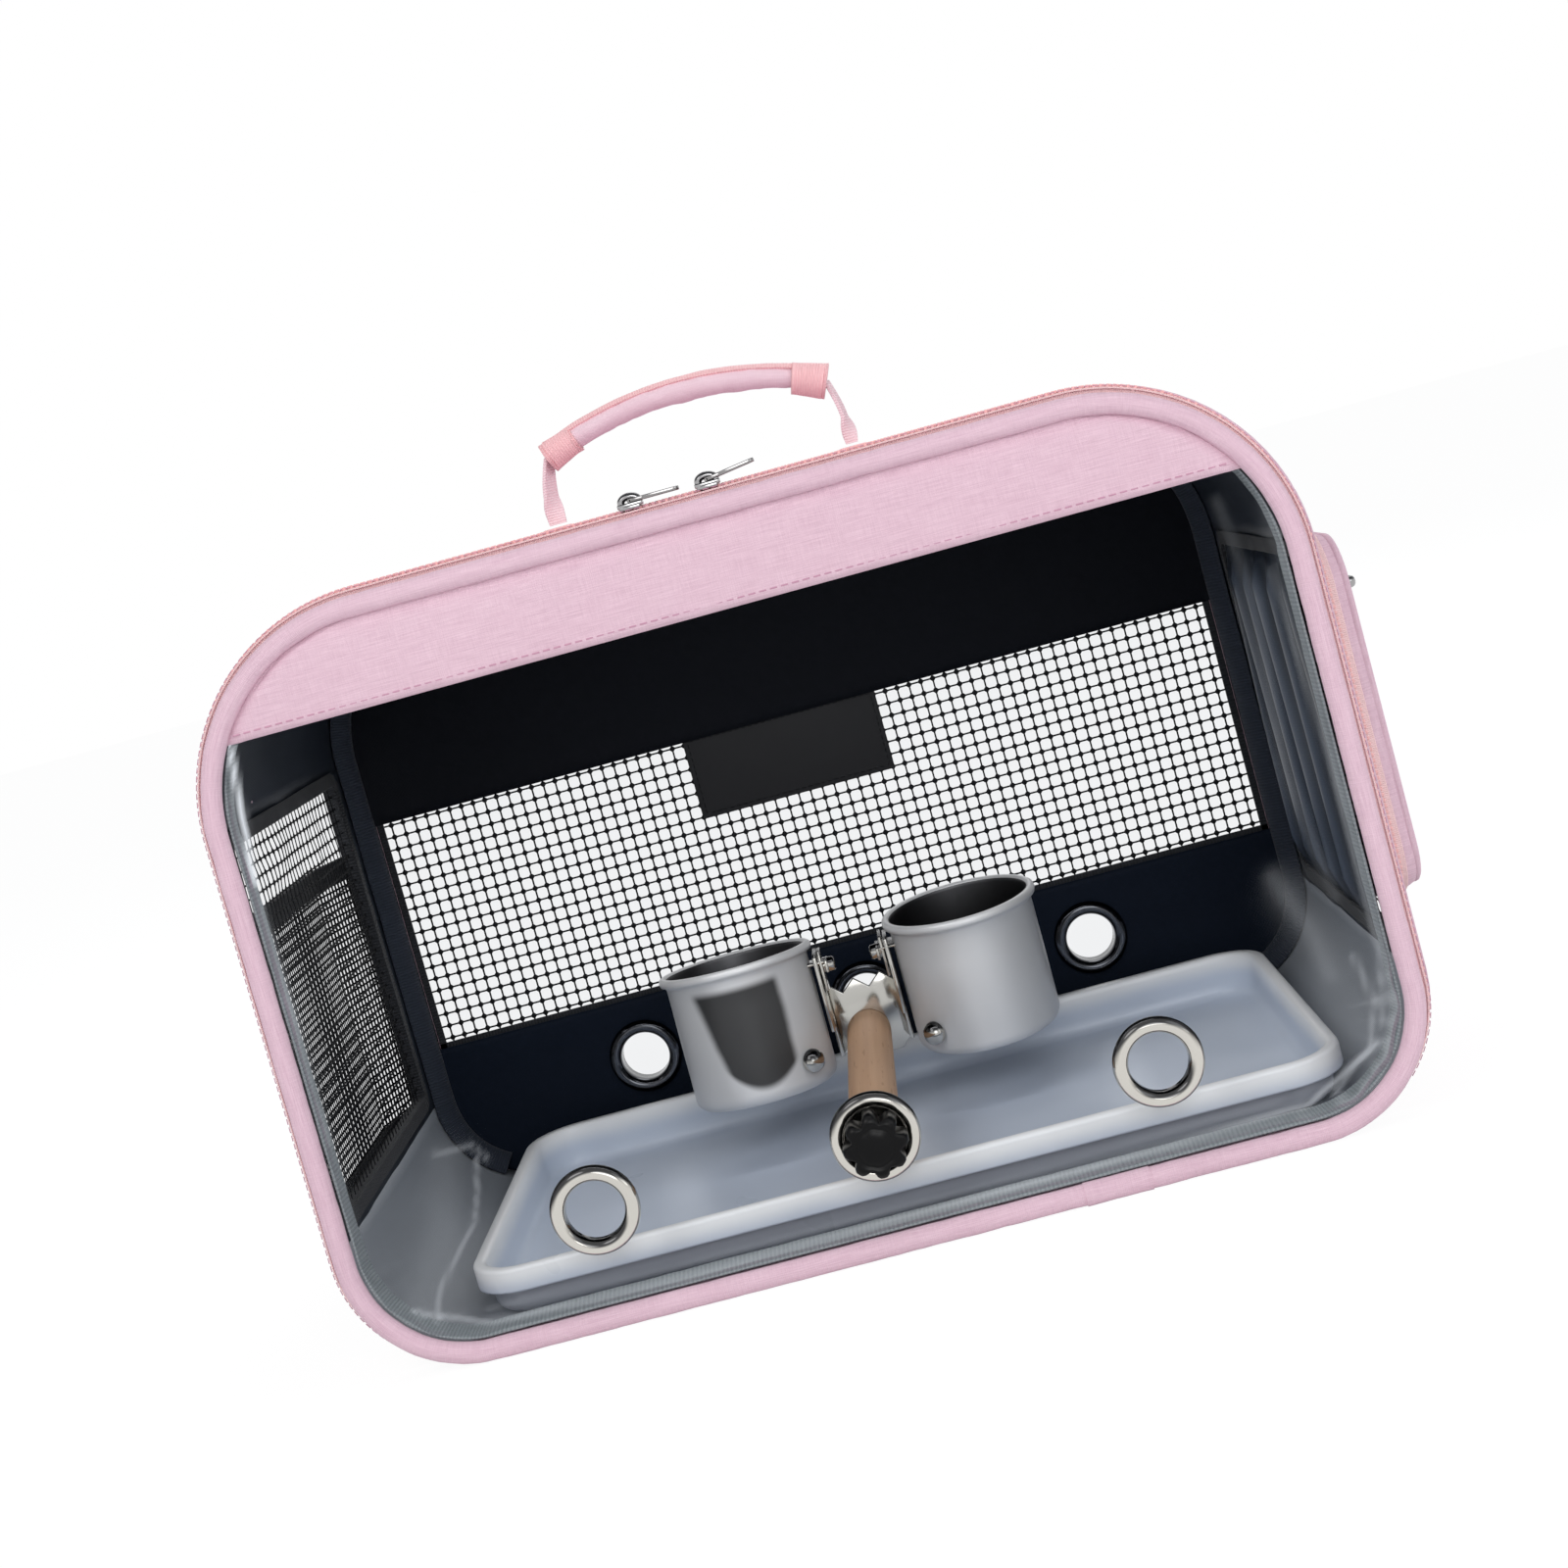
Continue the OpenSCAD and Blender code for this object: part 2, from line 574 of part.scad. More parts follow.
module star_knob() color([0.14, 0.14, 0.15]) translate([0, knob_y1, eyelet_z]) rotate([90, 0, 0]) difference() {
    union() {
        intersection() {
            difference() {
                cylinder(d = knob_d, h = knob_l);
                for (i = [0 : knob_lobes - 1]) rotate(i * 360 / knob_lobes)
                    translate([knob_d / 2 + knob_hollow_r * 0.45, 0, -1]) cylinder(r = knob_hollow_r, h = knob_l + 2);
            }
            translate([0, 0, knob_l - 1 - knob_d]) sphere(r = knob_d);
        }
        cylinder(d = knob_d * 0.5, h = knob_l);
    }
    translate([0, 0, -1]) cylinder(r = bolt_d / 2 + knob_clear, h = knob_l - 3.2 + 0.6 + 1);
}

// ---- bracket at the inner end of the perch
plate_y = perch_y1 + seam_gap / 2;
module bracket_plate() along_y(plate_y, plate_y + bracket_t) difference() {
    x0 = bracket_x - bracket_w / 2 + bracket_t / 2;
    x1 = bracket_x + bracket_w / 2 - bracket_t / 2;
    n = 5;
    polygon(concat([[x1, bracket_z0 + 4], [x1 - 4, bracket_z0], [x0 + 4, bracket_z0], [x0, bracket_z0 + 4]],
        [for (i = [0 : n]) [x0 + i * (x1 - x0) / n, bracket_z1 - (i % 2 == 0 ? 0 : 5)]]));
    translate([0, eyelet_z]) circle(screw_d / 2 + bolt_clear);
}
module flange(s) {
    x = bracket_x + s * bracket_w / 2 - bracket_t / 2;
    translate([x, plate_y - flange_d, bracket_z0 + 4]) difference() {
        cube([bracket_t, flange_d + bracket_t, flange_z1 - bracket_z0 - 4]);
        translate([-1, -1, -1]) cube([bracket_t + 2, flange_d - 6, 16]);
        translate([-1, flange_d - 2, flange_z1 - bracket_z1]) cube([bracket_t + 2, 10, 40]);
    }
}
module cup_bracket() color(steel) { bracket_plate(); flange(-1); flange(1); }
module bracket_screw() color(steel) {
    disc_y(0, eyelet_z, screw_head_d / 2, plate_y + bracket_t + 0.1, plate_y + bracket_t + 0.1 + screw_head_t);
    disc_y(0, eyelet_z, screw_d / 2, perch_y1 - screw_l, plate_y + bracket_t + 0.2);
}

// ---- cups, drawn about the middle of the rim
strap_y = plate_y - flange_d / 2 - 1;  // middle of a hanger strap
strap_x0 = bracket_t / 2 + hang_clear; // from the middle of a flange to a strap
cup_x = strap_x0 + strap_t + cup_d / 2 + 0.1;
flange_x = bracket_w / 2;
module cup_shell() {
    r = cup_d / 2;
    c = 5;
    rim = (rim_d - cup_d) / 2;
    translate([0, 0, -cup_h]) rotate_extrude() difference() {
        union() {
            square([r - c, cup_t]);
            translate([r - c, c]) intersection() {
                circle(c);
                translate([0, -c]) square([c, c]);
            }
            square([r - c, c]);
            translate([0, c]) square([r, cup_h - c]);
            translate([r - cup_t, cup_h - rim]) intersection() {
                circle(rim + cup_t);
                square([rim + cup_t, rim + cup_t]);
            }
        }
        translate([0, c]) square([r - cup_t, cup_h]);
        translate([0, cup_t]) square([r - c, c]);
        translate([r - c, c]) intersection() {
            circle(c - cup_t);
            translate([0, -c]) square([c, c]);
        }
        translate([r, cup_h - rim - rim - cup_t]) square([rim + 1, rim + cup_t]);
    }
}
// a cup leans about the top of its flange
module lean(s, a) translate([bracket_x + s * flange_x, strap_y, flange_z1]) rotate([-a, 0, 0]) children();
module cup(s, a) color(steel) lean(s, a) translate([s * cup_x, 0, cup_rim_z - flange_z1]) cup_shell();
module hanger(s, a) color(steel) lean(s, a) {
    x_out = strap_x0;
    top = hook_clear;
    drop = 28;
    mirror([s > 0 ? 0 : 1, 0, 0]) {
        translate([x_out, -strap_w / 2, -44]) cube([strap_t, strap_w, 44 + top]);
        translate([-x_out - strap_t, -strap_w / 2, top]) cube([2 * (x_out + strap_t), strap_w, strap_t]);
        translate([-x_out - strap_t, -strap_w / 2, -16]) cube([strap_t, strap_w, 16 + top]);
        translate([-x_out - strap_t, 0, -6]) rotate([0, -90, 0]) cylinder(r = 3, h = 5.5);
        // slanted strap that wraps the cup down to a domed rivet
        translate([cup_x, 0, 0]) difference() {
            union() {
                intersection() {
                    translate([0, 0, -44]) cylinder(r = cup_d / 2 + 0.1 + strap_t, h = 44);
                    translate([-cup_d / 2 - 4, -strap_w / 2 + 2, -16]) rotate([48, 0, 0])
                        translate([0, -60, -5]) cube([22, 60, 10]);
                }
                rotate([0, 0, 44]) translate([-cup_d / 2 - strap_t, 0, -39]) sphere(r = 3.4);
            }
            translate([0, 0, -50]) cylinder(r = cup_d / 2 + 0.1, h = 60);
        }
    }
}
module cup_left() cup(-1, lean_left);
module cup_right() cup(1, -lean_right);
module cup_hanger_left() hanger(-1, lean_left);
module cup_hanger_right() hanger(1, -lean_right);

// ---- tray
module round_rect(w, d, r) {
    translate([-w / 2 + r, -d / 2]) square([w - 2 * r, d]);
    translate([-w / 2, -d / 2 + r]) square([r, d - 2 * r]);
    translate([w / 2 - r, -d / 2 + r]) square([r, d - 2 * r]);
    for (i = [0 : 3]) translate([(i == 0 || i == 3 ? 1 : -1) * (w / 2 - r), (i < 2 ? 1 : -1) * (d / 2 - r)])
        quarter(r, i * 90);
}
module tray() color([0.62, 0.66, 0.7, 0.8]) translate([tray_x, 0, floor_z + tray_gap]) {
    w = tray_w - 2 * tray_rim;
    d = tray_d - 2 * tray_rim;
    r = tray_r - tray_rim;
    linear_extrude(tray_t) round_rect(w - 2 * tray_foot, d - 2 * tray_foot, r - tray_foot);
    translate([0, 0, tray_step]) linear_extrude(tray_t) difference() {
        round_rect(w, d, r);
        round_rect(w - 2 * tray_foot - 2 * tray_t, d - 2 * tray_foot - 2 * tray_t, r - tray_foot - tray_t);
    }
    translate([0, 0, tray_step]) linear_extrude(tray_h - tray_step) difference() {
        round_rect(w, d, r);
        round_rect(w - 2 * tray_t, d - 2 * tray_t, r - tray_t);
    }
    translate([0, 0, tray_h - tray_t]) linear_extrude(tray_t) difference() {
        round_rect(tray_w, tray_d, tray_r);
        round_rect(w, d, r);
    }
    translate([0, 0, tray_h - tray_lip]) linear_extrude(tray_lip) difference() {
        round_rect(tray_w, tray_d, tray_r);
        round_rect(tray_w - 2 * tray_t, tray_d - 2 * tray_t, tray_r - tray_t);
    }
}

// ---- net pocket on the left wall
np_x = -hw - net_pocket_d;             // outer face of the net
np_z0 = side_win_z0 - 6;
np_end = net_pocket_l / 2;             // where the pocket meets the wall
np_mid = np_end - net_pocket_taper;    // where its ends begin to slope
module net_pocket_net() color(black)
    side_net(np_x, -np_mid, 2 * np_mid, np_z0 + gusset_t, hem_z - hem_h, side_nx, side_nz - 4);
module net_pocket_hem() color(black) {
    x = np_x - 0.6;
    translate([0, 0, hem_z - hem_h]) linear_extrude(hem_h)
        polygon([[-hw - hem_t, -np_end], [x, -np_mid], [x, np_mid], [-hw - hem_t, np_end],
            [-hw, np_end], [x + hem_t, np_mid], [x + hem_t, -np_mid], [-hw, -np_end]]);
}
module net_pocket_base() color(black) translate([0, 0, np_z0]) linear_extrude(gusset_t)
    polygon([[-hw, -np_end], [np_x, -np_mid], [np_x, np_mid], [-hw, np_end]]);
module pocket_side(s) translate([0, 0, np_z0 + gusset_t]) linear_extrude(hem_z - hem_h - np_z0 - gusset_t)
    polygon([[np_x, s * np_mid], [np_x + gusset_t, s * np_mid], [-hw, s * np_end], [-hw - gusset_t, s * np_end]]);
module net_pocket_side_front() color(black) pocket_side(-1);
module net_pocket_side_rear() color(black) pocket_side(1);

// ---- zipped pocket on the right wall
pk_y = (zip_pocket_y0 + zip_pocket_y1) / 2;
pk_l = zip_pocket_y1 - zip_pocket_y0;
pk_z = (zip_pocket_z0 + zip_pocket_z1) / 2;
pk_h = zip_pocket_z1 - zip_pocket_z0;
module zip_pocket() color(pink) hull() {
    for (k = [0, 1]) {
        d = k * zip_pocket_slope;
        translate([hw + k * (zip_pocket_d - 1), pk_y, pk_z]) rotate([90, 0, 90]) linear_extrude(1)
            hull() for (u = [-1, 1], v = [-1, 1])
                translate([u * (pk_l / 2 - zip_pocket_r - d / 3), v * (pk_h / 2 - zip_pocket_r - d / 3)])
                    circle(zip_pocket_r - d * 2 / 3, $fn = 32);
    }
}
pk_x = hw + zip_pocket_d;
pz_z = zip_pocket_z1 - zip_pocket_slope - pocket_tape_w / 2 - 4;
module pocket_zip_tape() color(peach) translate([pk_x, pk_y - pocket_zip_l / 2, pz_z]) {
    translate([0, 0, -pocket_tape_w / 2]) cube([tape_t, pocket_zip_l, pocket_tape_w]);
    translate([0, 0, -teeth_w]) cube([tape_t + proud, pocket_zip_l, 2 * teeth_w]);
}
module on_pocket() translate([pk_x + tape_t, pk_y - pocket_zip_l / 2 + slider_l, pz_z])
    rotate([90, 0, 90]) children();
module pocket_slider() on_pocket() slider_body();
module pocket_pull() on_pocket() pull(0);

// ---- handle
grip_z = case_h + grip_rise;           // middle of the grip
grip_c = grip_z - grip_arc;            // centre of the arch
leg_z = case_h + tab_t + leg_gap + leg_t / 2;
end_a = grip_half + 1;
foot_x = grip_arc * sin(end_a) + 3;
function on_arch(r, a) = [r * sin(a), grip_c + r * cos(a)];
module arch(a0, a1) translate([grip_x, 0, grip_c]) rotate([90, 0, 0]) rotate([0, 0, 90 - a1])
    rotate_extrude(angle = a1 - a0) children();
module handle_grip() color(pink) arch(-grip_half, grip_half) translate([grip_arc, 0]) circle(d = grip_d);
module handle_webbing() color(peach) arch(-grip_half + wrap_a, grip_half - wrap_a)
    translate([grip_arc + grip_d / 2 + 0.1, -web_w / 2]) square([web_t, web_w]);
module handle_wraps() color(peach) for (s = [0, 1])
    arch(s > 0 ? grip_half - wrap_a + 0.1 : -end_a, s > 0 ? end_a : -grip_half + wrap_a - 0.1)
        translate([grip_arc, 0]) difference() {
            circle(d = grip_d + 2 * web_t);
            circle(d = grip_d + 0.1);
        }
module leg(s) translate([grip_x, leg_t / 2, 0]) rotate([90, 0, 0]) linear_extrude(leg_t) mirror([s > 0 ? 0 : 1, 0])
    polygon([[foot_x - leg_w / 2, leg_z], [foot_x + leg_w / 2, leg_z],
        on_arch(grip_arc + 3, end_a + 1.8), on_arch(grip_arc + 5, end_a + 0.1), on_arch(grip_arc - grip_d / 2, end_a + 0.1)]);
module handle_legs() color(peach) for (s = [-1, 1]) {
    leg(s);
    disc_x(0, leg_z, leg_t / 2, grip_x + s * foot_x - leg_w / 2, grip_x + s * foot_x + leg_w / 2);
}
module tab(s) color(peach) translate([grip_x + s * foot_x - leg_w / 2 - 2, -9, case_h])
    cube([leg_w + 4, 18, tab_t]);
module handle_tab_left() tab(-1);
module handle_tab_right() tab(1);

top_panel();
bottom_panel();
left_panel();
right_panel();
floor_lining();
wall_lining();
back_panel_lower();
back_panel_upper();
back_lining_lower();
back_lining_upper();
back_piping();
back_mesh();
left_mesh();
right_mesh();
rear_patch();
rear_eyelet_left();
rear_eyelet_centre();
rear_eyelet_right();
body_zip_tape();
body_zip_teeth();
hinge_strip();
tray();
net_pocket_net();
net_pocket_hem();
net_pocket_base();
net_pocket_side_front();
net_pocket_side_rear();
zip_pocket();
pocket_zip_tape();
pocket_slider();
pocket_pull();
handle_tab_left();
handle_tab_right();
front_piping();
front_window();
front_band();
front_binding();
front_zip_tape();
front_zip_teeth();
front_eyelet_left();
front_eyelet_centre();
front_eyelet_right();
perch_washer();
perch_bolt();
perch_dowel();
cup_bracket();
bracket_screw();
star_knob();
cup_left();
cup_hanger_left();
cup_right();
cup_hanger_right();
slider_left();
pull_left();
slider_right();
pull_right();
handle_grip();
handle_webbing();
handle_wraps();
handle_legs();
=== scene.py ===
"""Soft-sided travel carrier for a small bird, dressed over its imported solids.

Lengths in the modelling code are millimetres; settle() turns a finished mesh into metres.
"""
import math
import bmesh
import bpy
from mathutils import Matrix, Vector, noise


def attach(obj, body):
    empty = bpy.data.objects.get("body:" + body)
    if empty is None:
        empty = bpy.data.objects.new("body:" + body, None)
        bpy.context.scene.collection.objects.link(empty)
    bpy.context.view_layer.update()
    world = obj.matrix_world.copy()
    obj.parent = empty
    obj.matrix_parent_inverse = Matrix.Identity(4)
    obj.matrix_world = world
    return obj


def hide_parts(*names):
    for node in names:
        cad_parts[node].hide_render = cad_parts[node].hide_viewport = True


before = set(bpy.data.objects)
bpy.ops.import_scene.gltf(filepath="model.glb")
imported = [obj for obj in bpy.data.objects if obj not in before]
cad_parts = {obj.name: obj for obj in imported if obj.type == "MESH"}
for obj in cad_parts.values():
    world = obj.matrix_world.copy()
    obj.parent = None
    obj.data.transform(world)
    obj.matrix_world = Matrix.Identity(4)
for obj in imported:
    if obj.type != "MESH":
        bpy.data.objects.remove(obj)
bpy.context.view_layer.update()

# ---------------------------------------------------------------- the case's measures
# an outline of the case seen from the front: half width, height, radius of its upper corners
WALLS = (204.0, 279.0, 74.0)
ZIP = (201.5, 279.0, 74.0)
PIPING = (199.0, 276.5, 71.5)
CORNER_LOW = 47.0
FRONT_SEAM = -110.5
REAR_SEAM = 110.5
INSET = 8.2              # edge of the flat panels inside the piping
WALL_FRONT = -96.9
WALL_REAR = 106.4
LINING_IN = 4.3          # the lining inside the walls, and where it ends at the back
LINING_REAR = 105.2
BACK_CLOTH_Y, BACK_LINING_Y = 112.0, 105.5
BACK_LOW, BACK_HIGH = 70.0, 177.0        # the rear window's cloth edges
BACK_LINING_IN = 4.4
HOLE_R = 12.6            # cut in cloth and film under an eyelet
ZIP_TAIL = 45.0          # degrees that the zip runs round the lower corners
EYELET_X = (-103.0, 0.0, 103.0)
EYELET_Z = 43.5
EYELET_BORE = 10.65      # radius of the bore, and width of the rolled ring round it
EYELET_RING = 5.65
ALONG_Y = Vector((0, 1, 0))


# ---------------------------------------------------------------- material tools
def ink(red, green, blue):
    """A colour as it is seen, 0 to 255, as the shader's own numbers."""
    return tuple(
        c / 12.92 if c <= 0.04045 else ((c + 0.055) / 1.055) ** 2.4
        for c in (red / 255, green / 255, blue / 255)
    ) + (1.0,)


class Reading:
    """A number that varies over a surface. Sums on it add Math nodes."""

    def __init__(self, finish, socket):
        self.finish, self.socket = finish, socket

    def sum(self, operation, *others):
        node = self.finish.put("ShaderNodeMath", {"operation": operation}, self, *others)
        return Reading(self.finish, node.outputs[0])

    def turned(self, operation, other):
        node = self.finish.put("ShaderNodeMath", {"operation": operation}, other, self)
        return Reading(self.finish, node.outputs[0])

    def __add__(self, other):
        return self.sum("ADD", other)

    __radd__ = __add__

    def __sub__(self, other):
        return self.sum("SUBTRACT", other)

    def __rsub__(self, other):
        return self.turned("SUBTRACT", other)

    def __mul__(self, other):
        return self.sum("MULTIPLY", other)

    __rmul__ = __mul__

    def __truediv__(self, other):
        return self.sum("DIVIDE", other)

    def __pow__(self, other):
        return self.sum("POWER", other)

    def wave(self, per_unit):
        """Swings between 0 and 1, per_unit times in one unit."""
        return (self * (2 * math.pi * per_unit)).sum("SINE") * 0.5 + 0.5

    def held(self):
        """Kept between 0 and 1."""
        return (self * 1.0).sum("MAXIMUM", 0.0).sum("MINIMUM", 1.0)

    def over(self, low, high):
        """0 below low, 1 above high, and smooth between them."""
        node = self.finish.put(
            "ShaderNodeMapRange", {"interpolation_type": "SMOOTHSTEP"}, self, low, high, 0.0, 1.0
        )
        return Reading(self.finish, node.outputs[0])


class Finish:
    """One material: a Principled shader and what feeds it."""

    def __init__(self, name, **fixed):
        self.material = bpy.data.materials.new(name)
        self.material.use_nodes = True
        self.nodes = self.material.node_tree.nodes
        self.nodes.clear()
        self.skin = self.put("ShaderNodeBsdfPrincipled")
        self.exit = self.put("ShaderNodeOutputMaterial", {}, self.skin.outputs[0])
        self.places = self.put("ShaderNodeTexCoord")
        for key, value in fixed.items():
            self.skin.inputs[key.replace("_", " ")].default_value = value

    def put(self, kind, settings=None, *sockets, **named):
        """A node with its settings, then the values or links of its sockets."""
        node = self.nodes.new(kind)
        for key, value in (settings or {}).items():
            setattr(node, key, value)
        for socket, value in zip(node.inputs, sockets):
            self.feed(socket, value)
        for key, value in named.items():
            self.feed(node.inputs[key.replace("_", " ")], value)
        return node

    def feed(self, socket, value):
        if isinstance(value, Reading):
            value = value.socket
        if isinstance(value, bpy.types.NodeSocket):
            self.material.node_tree.links.new(value, socket)
        elif value is not None:
            socket.default_value = value

    def give(self, **sockets):
        """Feeds the shader's own sockets."""
        for key, value in sockets.items():
            self.feed(self.skin.inputs[key.replace("_", " ")], value)
        return self

    def spots(self, where, scale, detail=2.0, rough=0.5):
        """Noise over the piece. where is UV or Object, scale is per unit along each axis."""
        place = self.put("ShaderNodeMapping", {}, self.places.outputs[where], Scale=scale)
        node = self.put(
            "ShaderNodeTexNoise", {}, Vector=place.outputs[0], Scale=1.0, Detail=detail, Roughness=rough
        )
        return Reading(self, node.outputs[0])

    def axis(self, where, index):
        node = self.put("ShaderNodeSeparateXYZ", {}, self.places.outputs[where])
        return Reading(self, node.outputs[index])

    def blend(self, factor, low, high):
        """A colour between two colours."""
        node = self.put("ShaderNodeMix", {"data_type": "RGBA"})
        self.feed(node.inputs[0], factor)
        self.feed(node.inputs[6], low)
        self.feed(node.inputs[7], high)
        return node.outputs[2]

    def relief(self, height, depth, strength=1.0, under=None):
        """Raises and sinks the surface by height times depth, in metres."""
        node = self.put("ShaderNodeBump", {}, Strength=strength, Distance=depth, Height=height)
        if under is not None:
            self.feed(node.inputs["Normal"], under)
        return node.outputs[0]


def melange_cloth(name, pale, deep, gain=1.0, rough=0.86):
    """Slubbed two-tone canvas: threads of slightly different dye run both ways."""
    f = Finish(name, Sheen_Weight=0.12, Sheen_Roughness=0.5, Specular_IOR_Level=0.25)
    weft = f.spots("UV", (7.0, 240.0, 1.0), 3.0, 0.65)
    warp = f.spots("UV", (240.0, 11.0, 1.0), 3.0, 0.65)
    fleck = f.spots("UV", (330.0, 330.0, 1.0), 1.0)
    broad = f.spots("Object", (7.0, 7.0, 7.0), 2.0)
    tone = (
        (weft * 1.3 + warp * 0.7 - 1.0) * (1.5 * gain) + (fleck - 0.5) * (0.8 * gain) + (broad - 0.5) * 0.35 + 0.5
    ).held()
    u, v = f.axis("UV", 0), f.axis("UV", 1)
    threads = u.wave(150.0) * 0.5 + v.wave(150.0) * 0.5
    lie = f.relief(threads * 0.5 + (weft + warp) * 0.5, 0.00018, 0.6)
    slack = f.spots("Object", (26.0, 26.0, 26.0), 2.0)
    f.give(
        Base_Color=f.blend(tone, deep, pale),
        Roughness=(slack - 0.5) * 0.1 + rough,
        Normal=f.relief(slack, 0.0012, 0.4, lie),
    )
    return f.material


def ribbed_tape(name, pale, deep, ribs, along=0, rough=0.7, depth=0.0003):
    """Woven tape: ribs across its length, and a closer twill between them."""
    f = Finish(name, Sheen_Weight=0.1, Specular_IOR_Level=0.3)
    rib = f.axis("UV", along).wave(ribs)
    twill = (f.axis("UV", 0) + f.axis("UV", 1)).wave(ribs * 1.7)
    wear = f.spots("UV", (14.0, 60.0, 1.0), 3.0)
    tone = (rib * 0.45 + twill * 0.25 + wear * 0.5 - 0.1).held()
    f.give(
        Base_Color=f.blend(tone, deep, pale),
        Roughness=(wear - 0.5) * 0.16 + rough,
        Normal=f.relief(rib * 0.8 + twill * 0.3, depth, 0.8),
    )
    return f.material


def lining_cloth(name, pale, deep, rough, gloss=0.3, coat=0.0, folded=False):
    """Coated lining: a plain close weave under a thin shine, creased. Hung lining has painted shade
    between its folds and lighter ridges, as the attribute fold says."""
    f = Finish(name, Specular_IOR_Level=gloss, Coat_Roughness=0.3)
    crease = f.spots("Object", (7.0, 7.0, 20.0), 3.0, 0.55)
    fine = f.spots("UV", (150.0, 150.0, 1.0), 1.0)
    u, v = f.axis("UV", 0), f.axis("UV", 1)
    weave = u.wave(160.0) * v.wave(160.0)
    tone = (crease * 0.8 + fine * 0.4 - 0.1).held()
    if folded:
        # painted shade: the fold attribute darkens the lining between its folds
        raised = Reading(f, f.put("ShaderNodeAttribute", {"attribute_name": "fold"}).outputs["Fac"])
        tone = tone * 0.3 + raised.over(0.25, 1.0) * 0.7
    f.give(
        Base_Color=f.blend(tone, deep, pale),
        Roughness=(crease - 0.5) * 0.3 + rough,
        Normal=f.relief(crease, 0.0016, 0.6, f.relief(weave + fine, 0.00012, 0.5)),
    )
    f.skin.inputs["Coat Weight"].default_value = coat
    return f.material


def bright_metal(name, tone, rough, shade=0.0, streak=(3.0, 3.0, 260.0)):
    """Polished sheet or cast metal with fine drawn lines and finger dulling. The shade is painted
    reflection: the colour darkens on upper slopes, undersides and faces turned to the back, by the
    piece's own normal, in place of dark surroundings that plated trim would mirror."""
    f = Finish(name, Metallic=1.0)
    dull = f.spots("Object", (38.0, 38.0, 38.0), 3.0)
    lines = f.spots("Object", streak, 2.0)
    tone_here = f.blend(dull, ink(*[c * 0.93 for c in tone]), ink(*tone))
    # painted reflection: darker on upper slopes, undersides and rear faces, by the piece's own normal
    if shade:
        slope = f.put("ShaderNodeSeparateXYZ", {}, f.places.outputs["Normal"])
        up, ahead = Reading(f, slope.outputs[2]), Reading(f, slope.outputs[1])
        uneven = (dull - 0.5) * 0.5
        dark = (
            (up + uneven).over(0.1, 0.42) + (up * -1.0 + uneven).over(0.86, 1.0) * 0.6
            + (ahead + uneven).over(0.1, 0.6) * 0.5
        ).held()
        tone_here = f.blend(dark * shade, tone_here, ink(46, 47, 50))
    f.give(
        Base_Color=tone_here,
        Roughness=(dull * 0.12 + lines * 0.06 + (rough - 0.09)).held(),
        Normal=f.relief(lines, 0.00004, 0.35),
    )
    return f.material


def cup_metal(name, tone, left):
    """Satin cup steel with painted reflection: lighter and darker in upright bands by its own normal, mixed with
    finger dulling. One cup has a painted reflection of the dark case, a tall dark patch on its flank.
    """
    f = Finish(name, Metallic=0.15)
    dull = f.spots("Object", (38.0, 38.0, 38.0), 3.0)
    lines = f.spots("Object", (240.0, 240.0, 5.0), 2.0)
    across = Reading(f, f.put("ShaderNodeSeparateXYZ", {}, f.places.outputs["Normal"]).outputs[0])
    # painted reflection: lighter where the steel faces front or back, darker on its sides
    band = (across + (dull - 0.5) * 0.2).over(-0.5, -0.1) * (1 - (across + (dull - 0.5) * 0.2).over(0.1, 0.6))
    here = f.blend(band * 0.7 + dull * 0.3, ink(*[c * 0.86 for c in tone]), ink(*tone))
    # painted reflection of the dark case: a tall dark patch on the left cup's flank, placed by normal and height
    if left:
        high = f.axis("Object", 2)
        uneven = (dull - 0.5) * 0.08
        slant = (across + (high - 0.083) * 7.0 + uneven).over(-0.66, -0.52)
        off = across - 0.12
        foot = (high - off * off * 0.035).over(0.0405, 0.0445)
        patch = slant * (1 - (across + uneven).over(0.5, 0.62)) * foot * (1 - high.over(0.082, 0.086))
        here = f.blend(patch * 0.96, here, ink(30, 30, 31))
    f.give(
        Base_Color=here,
        Roughness=(dull * 0.12 + lines * 0.06 + 0.28).held(),
        Normal=f.relief(lines, 0.00004, 0.35),
    )
    return f.material


def moulded(name, pale, deep, rough, grain=900.0, **fixed):
    """Moulded plastic with a faint grain."""
    f = Finish(name, **fixed)
    grit = f.spots("Object", (grain,) * 3, 2.0)
    cloud = f.spots("Object", (22.0,) * 3, 2.0)
    f.give(
        Base_Color=f.blend(cloud, deep, pale),
        Roughness=(cloud - 0.5) * 0.14 + rough,
        Normal=f.relief(grit, 0.00006, 0.4),
    )
    return f.material


def frosted(name):
    """Frosted tray plastic: whitest at its lip, a painted highlight, and grey on the front wall under the lip, painted
    shade.
    """
    f = Finish(name, Alpha=0.94)
    grit = f.spots("Object", (700.0,) * 3, 2.0)
    cloud = f.spots("Object", (22.0,) * 3, 2.0)
    high = f.axis("Object", 2)
    ahead = Reading(f, f.put("ShaderNodeSeparateXYZ", {}, f.places.outputs["Normal"]).outputs[1])
    # painted shade: the forward-facing wall below the lip, at the front, is tinted grey
    under = (ahead * -1.0).over(0.2, 0.5) * (1 - high.over(0.0155, 0.0165)) * (
        1 - f.axis("Object", 1).over(-0.07, -0.06)
    )
    body = f.blend(cloud, ink(205, 215, 231), ink(222, 231, 245))
    # painted highlight: whiter towards the top of the lip
    lip_highlight = f.blend((high + (cloud - 0.5) * 0.004).over(0.015, 0.023), body, ink(253, 254, 255))
    f.give(
        Base_Color=f.blend(under, lip_highlight, ink(178, 183, 192)),
        Roughness=(cloud - 0.5) * 0.14 + 0.3,
        Normal=f.relief(grit, 0.00006, 0.4),
    )
    return f.material


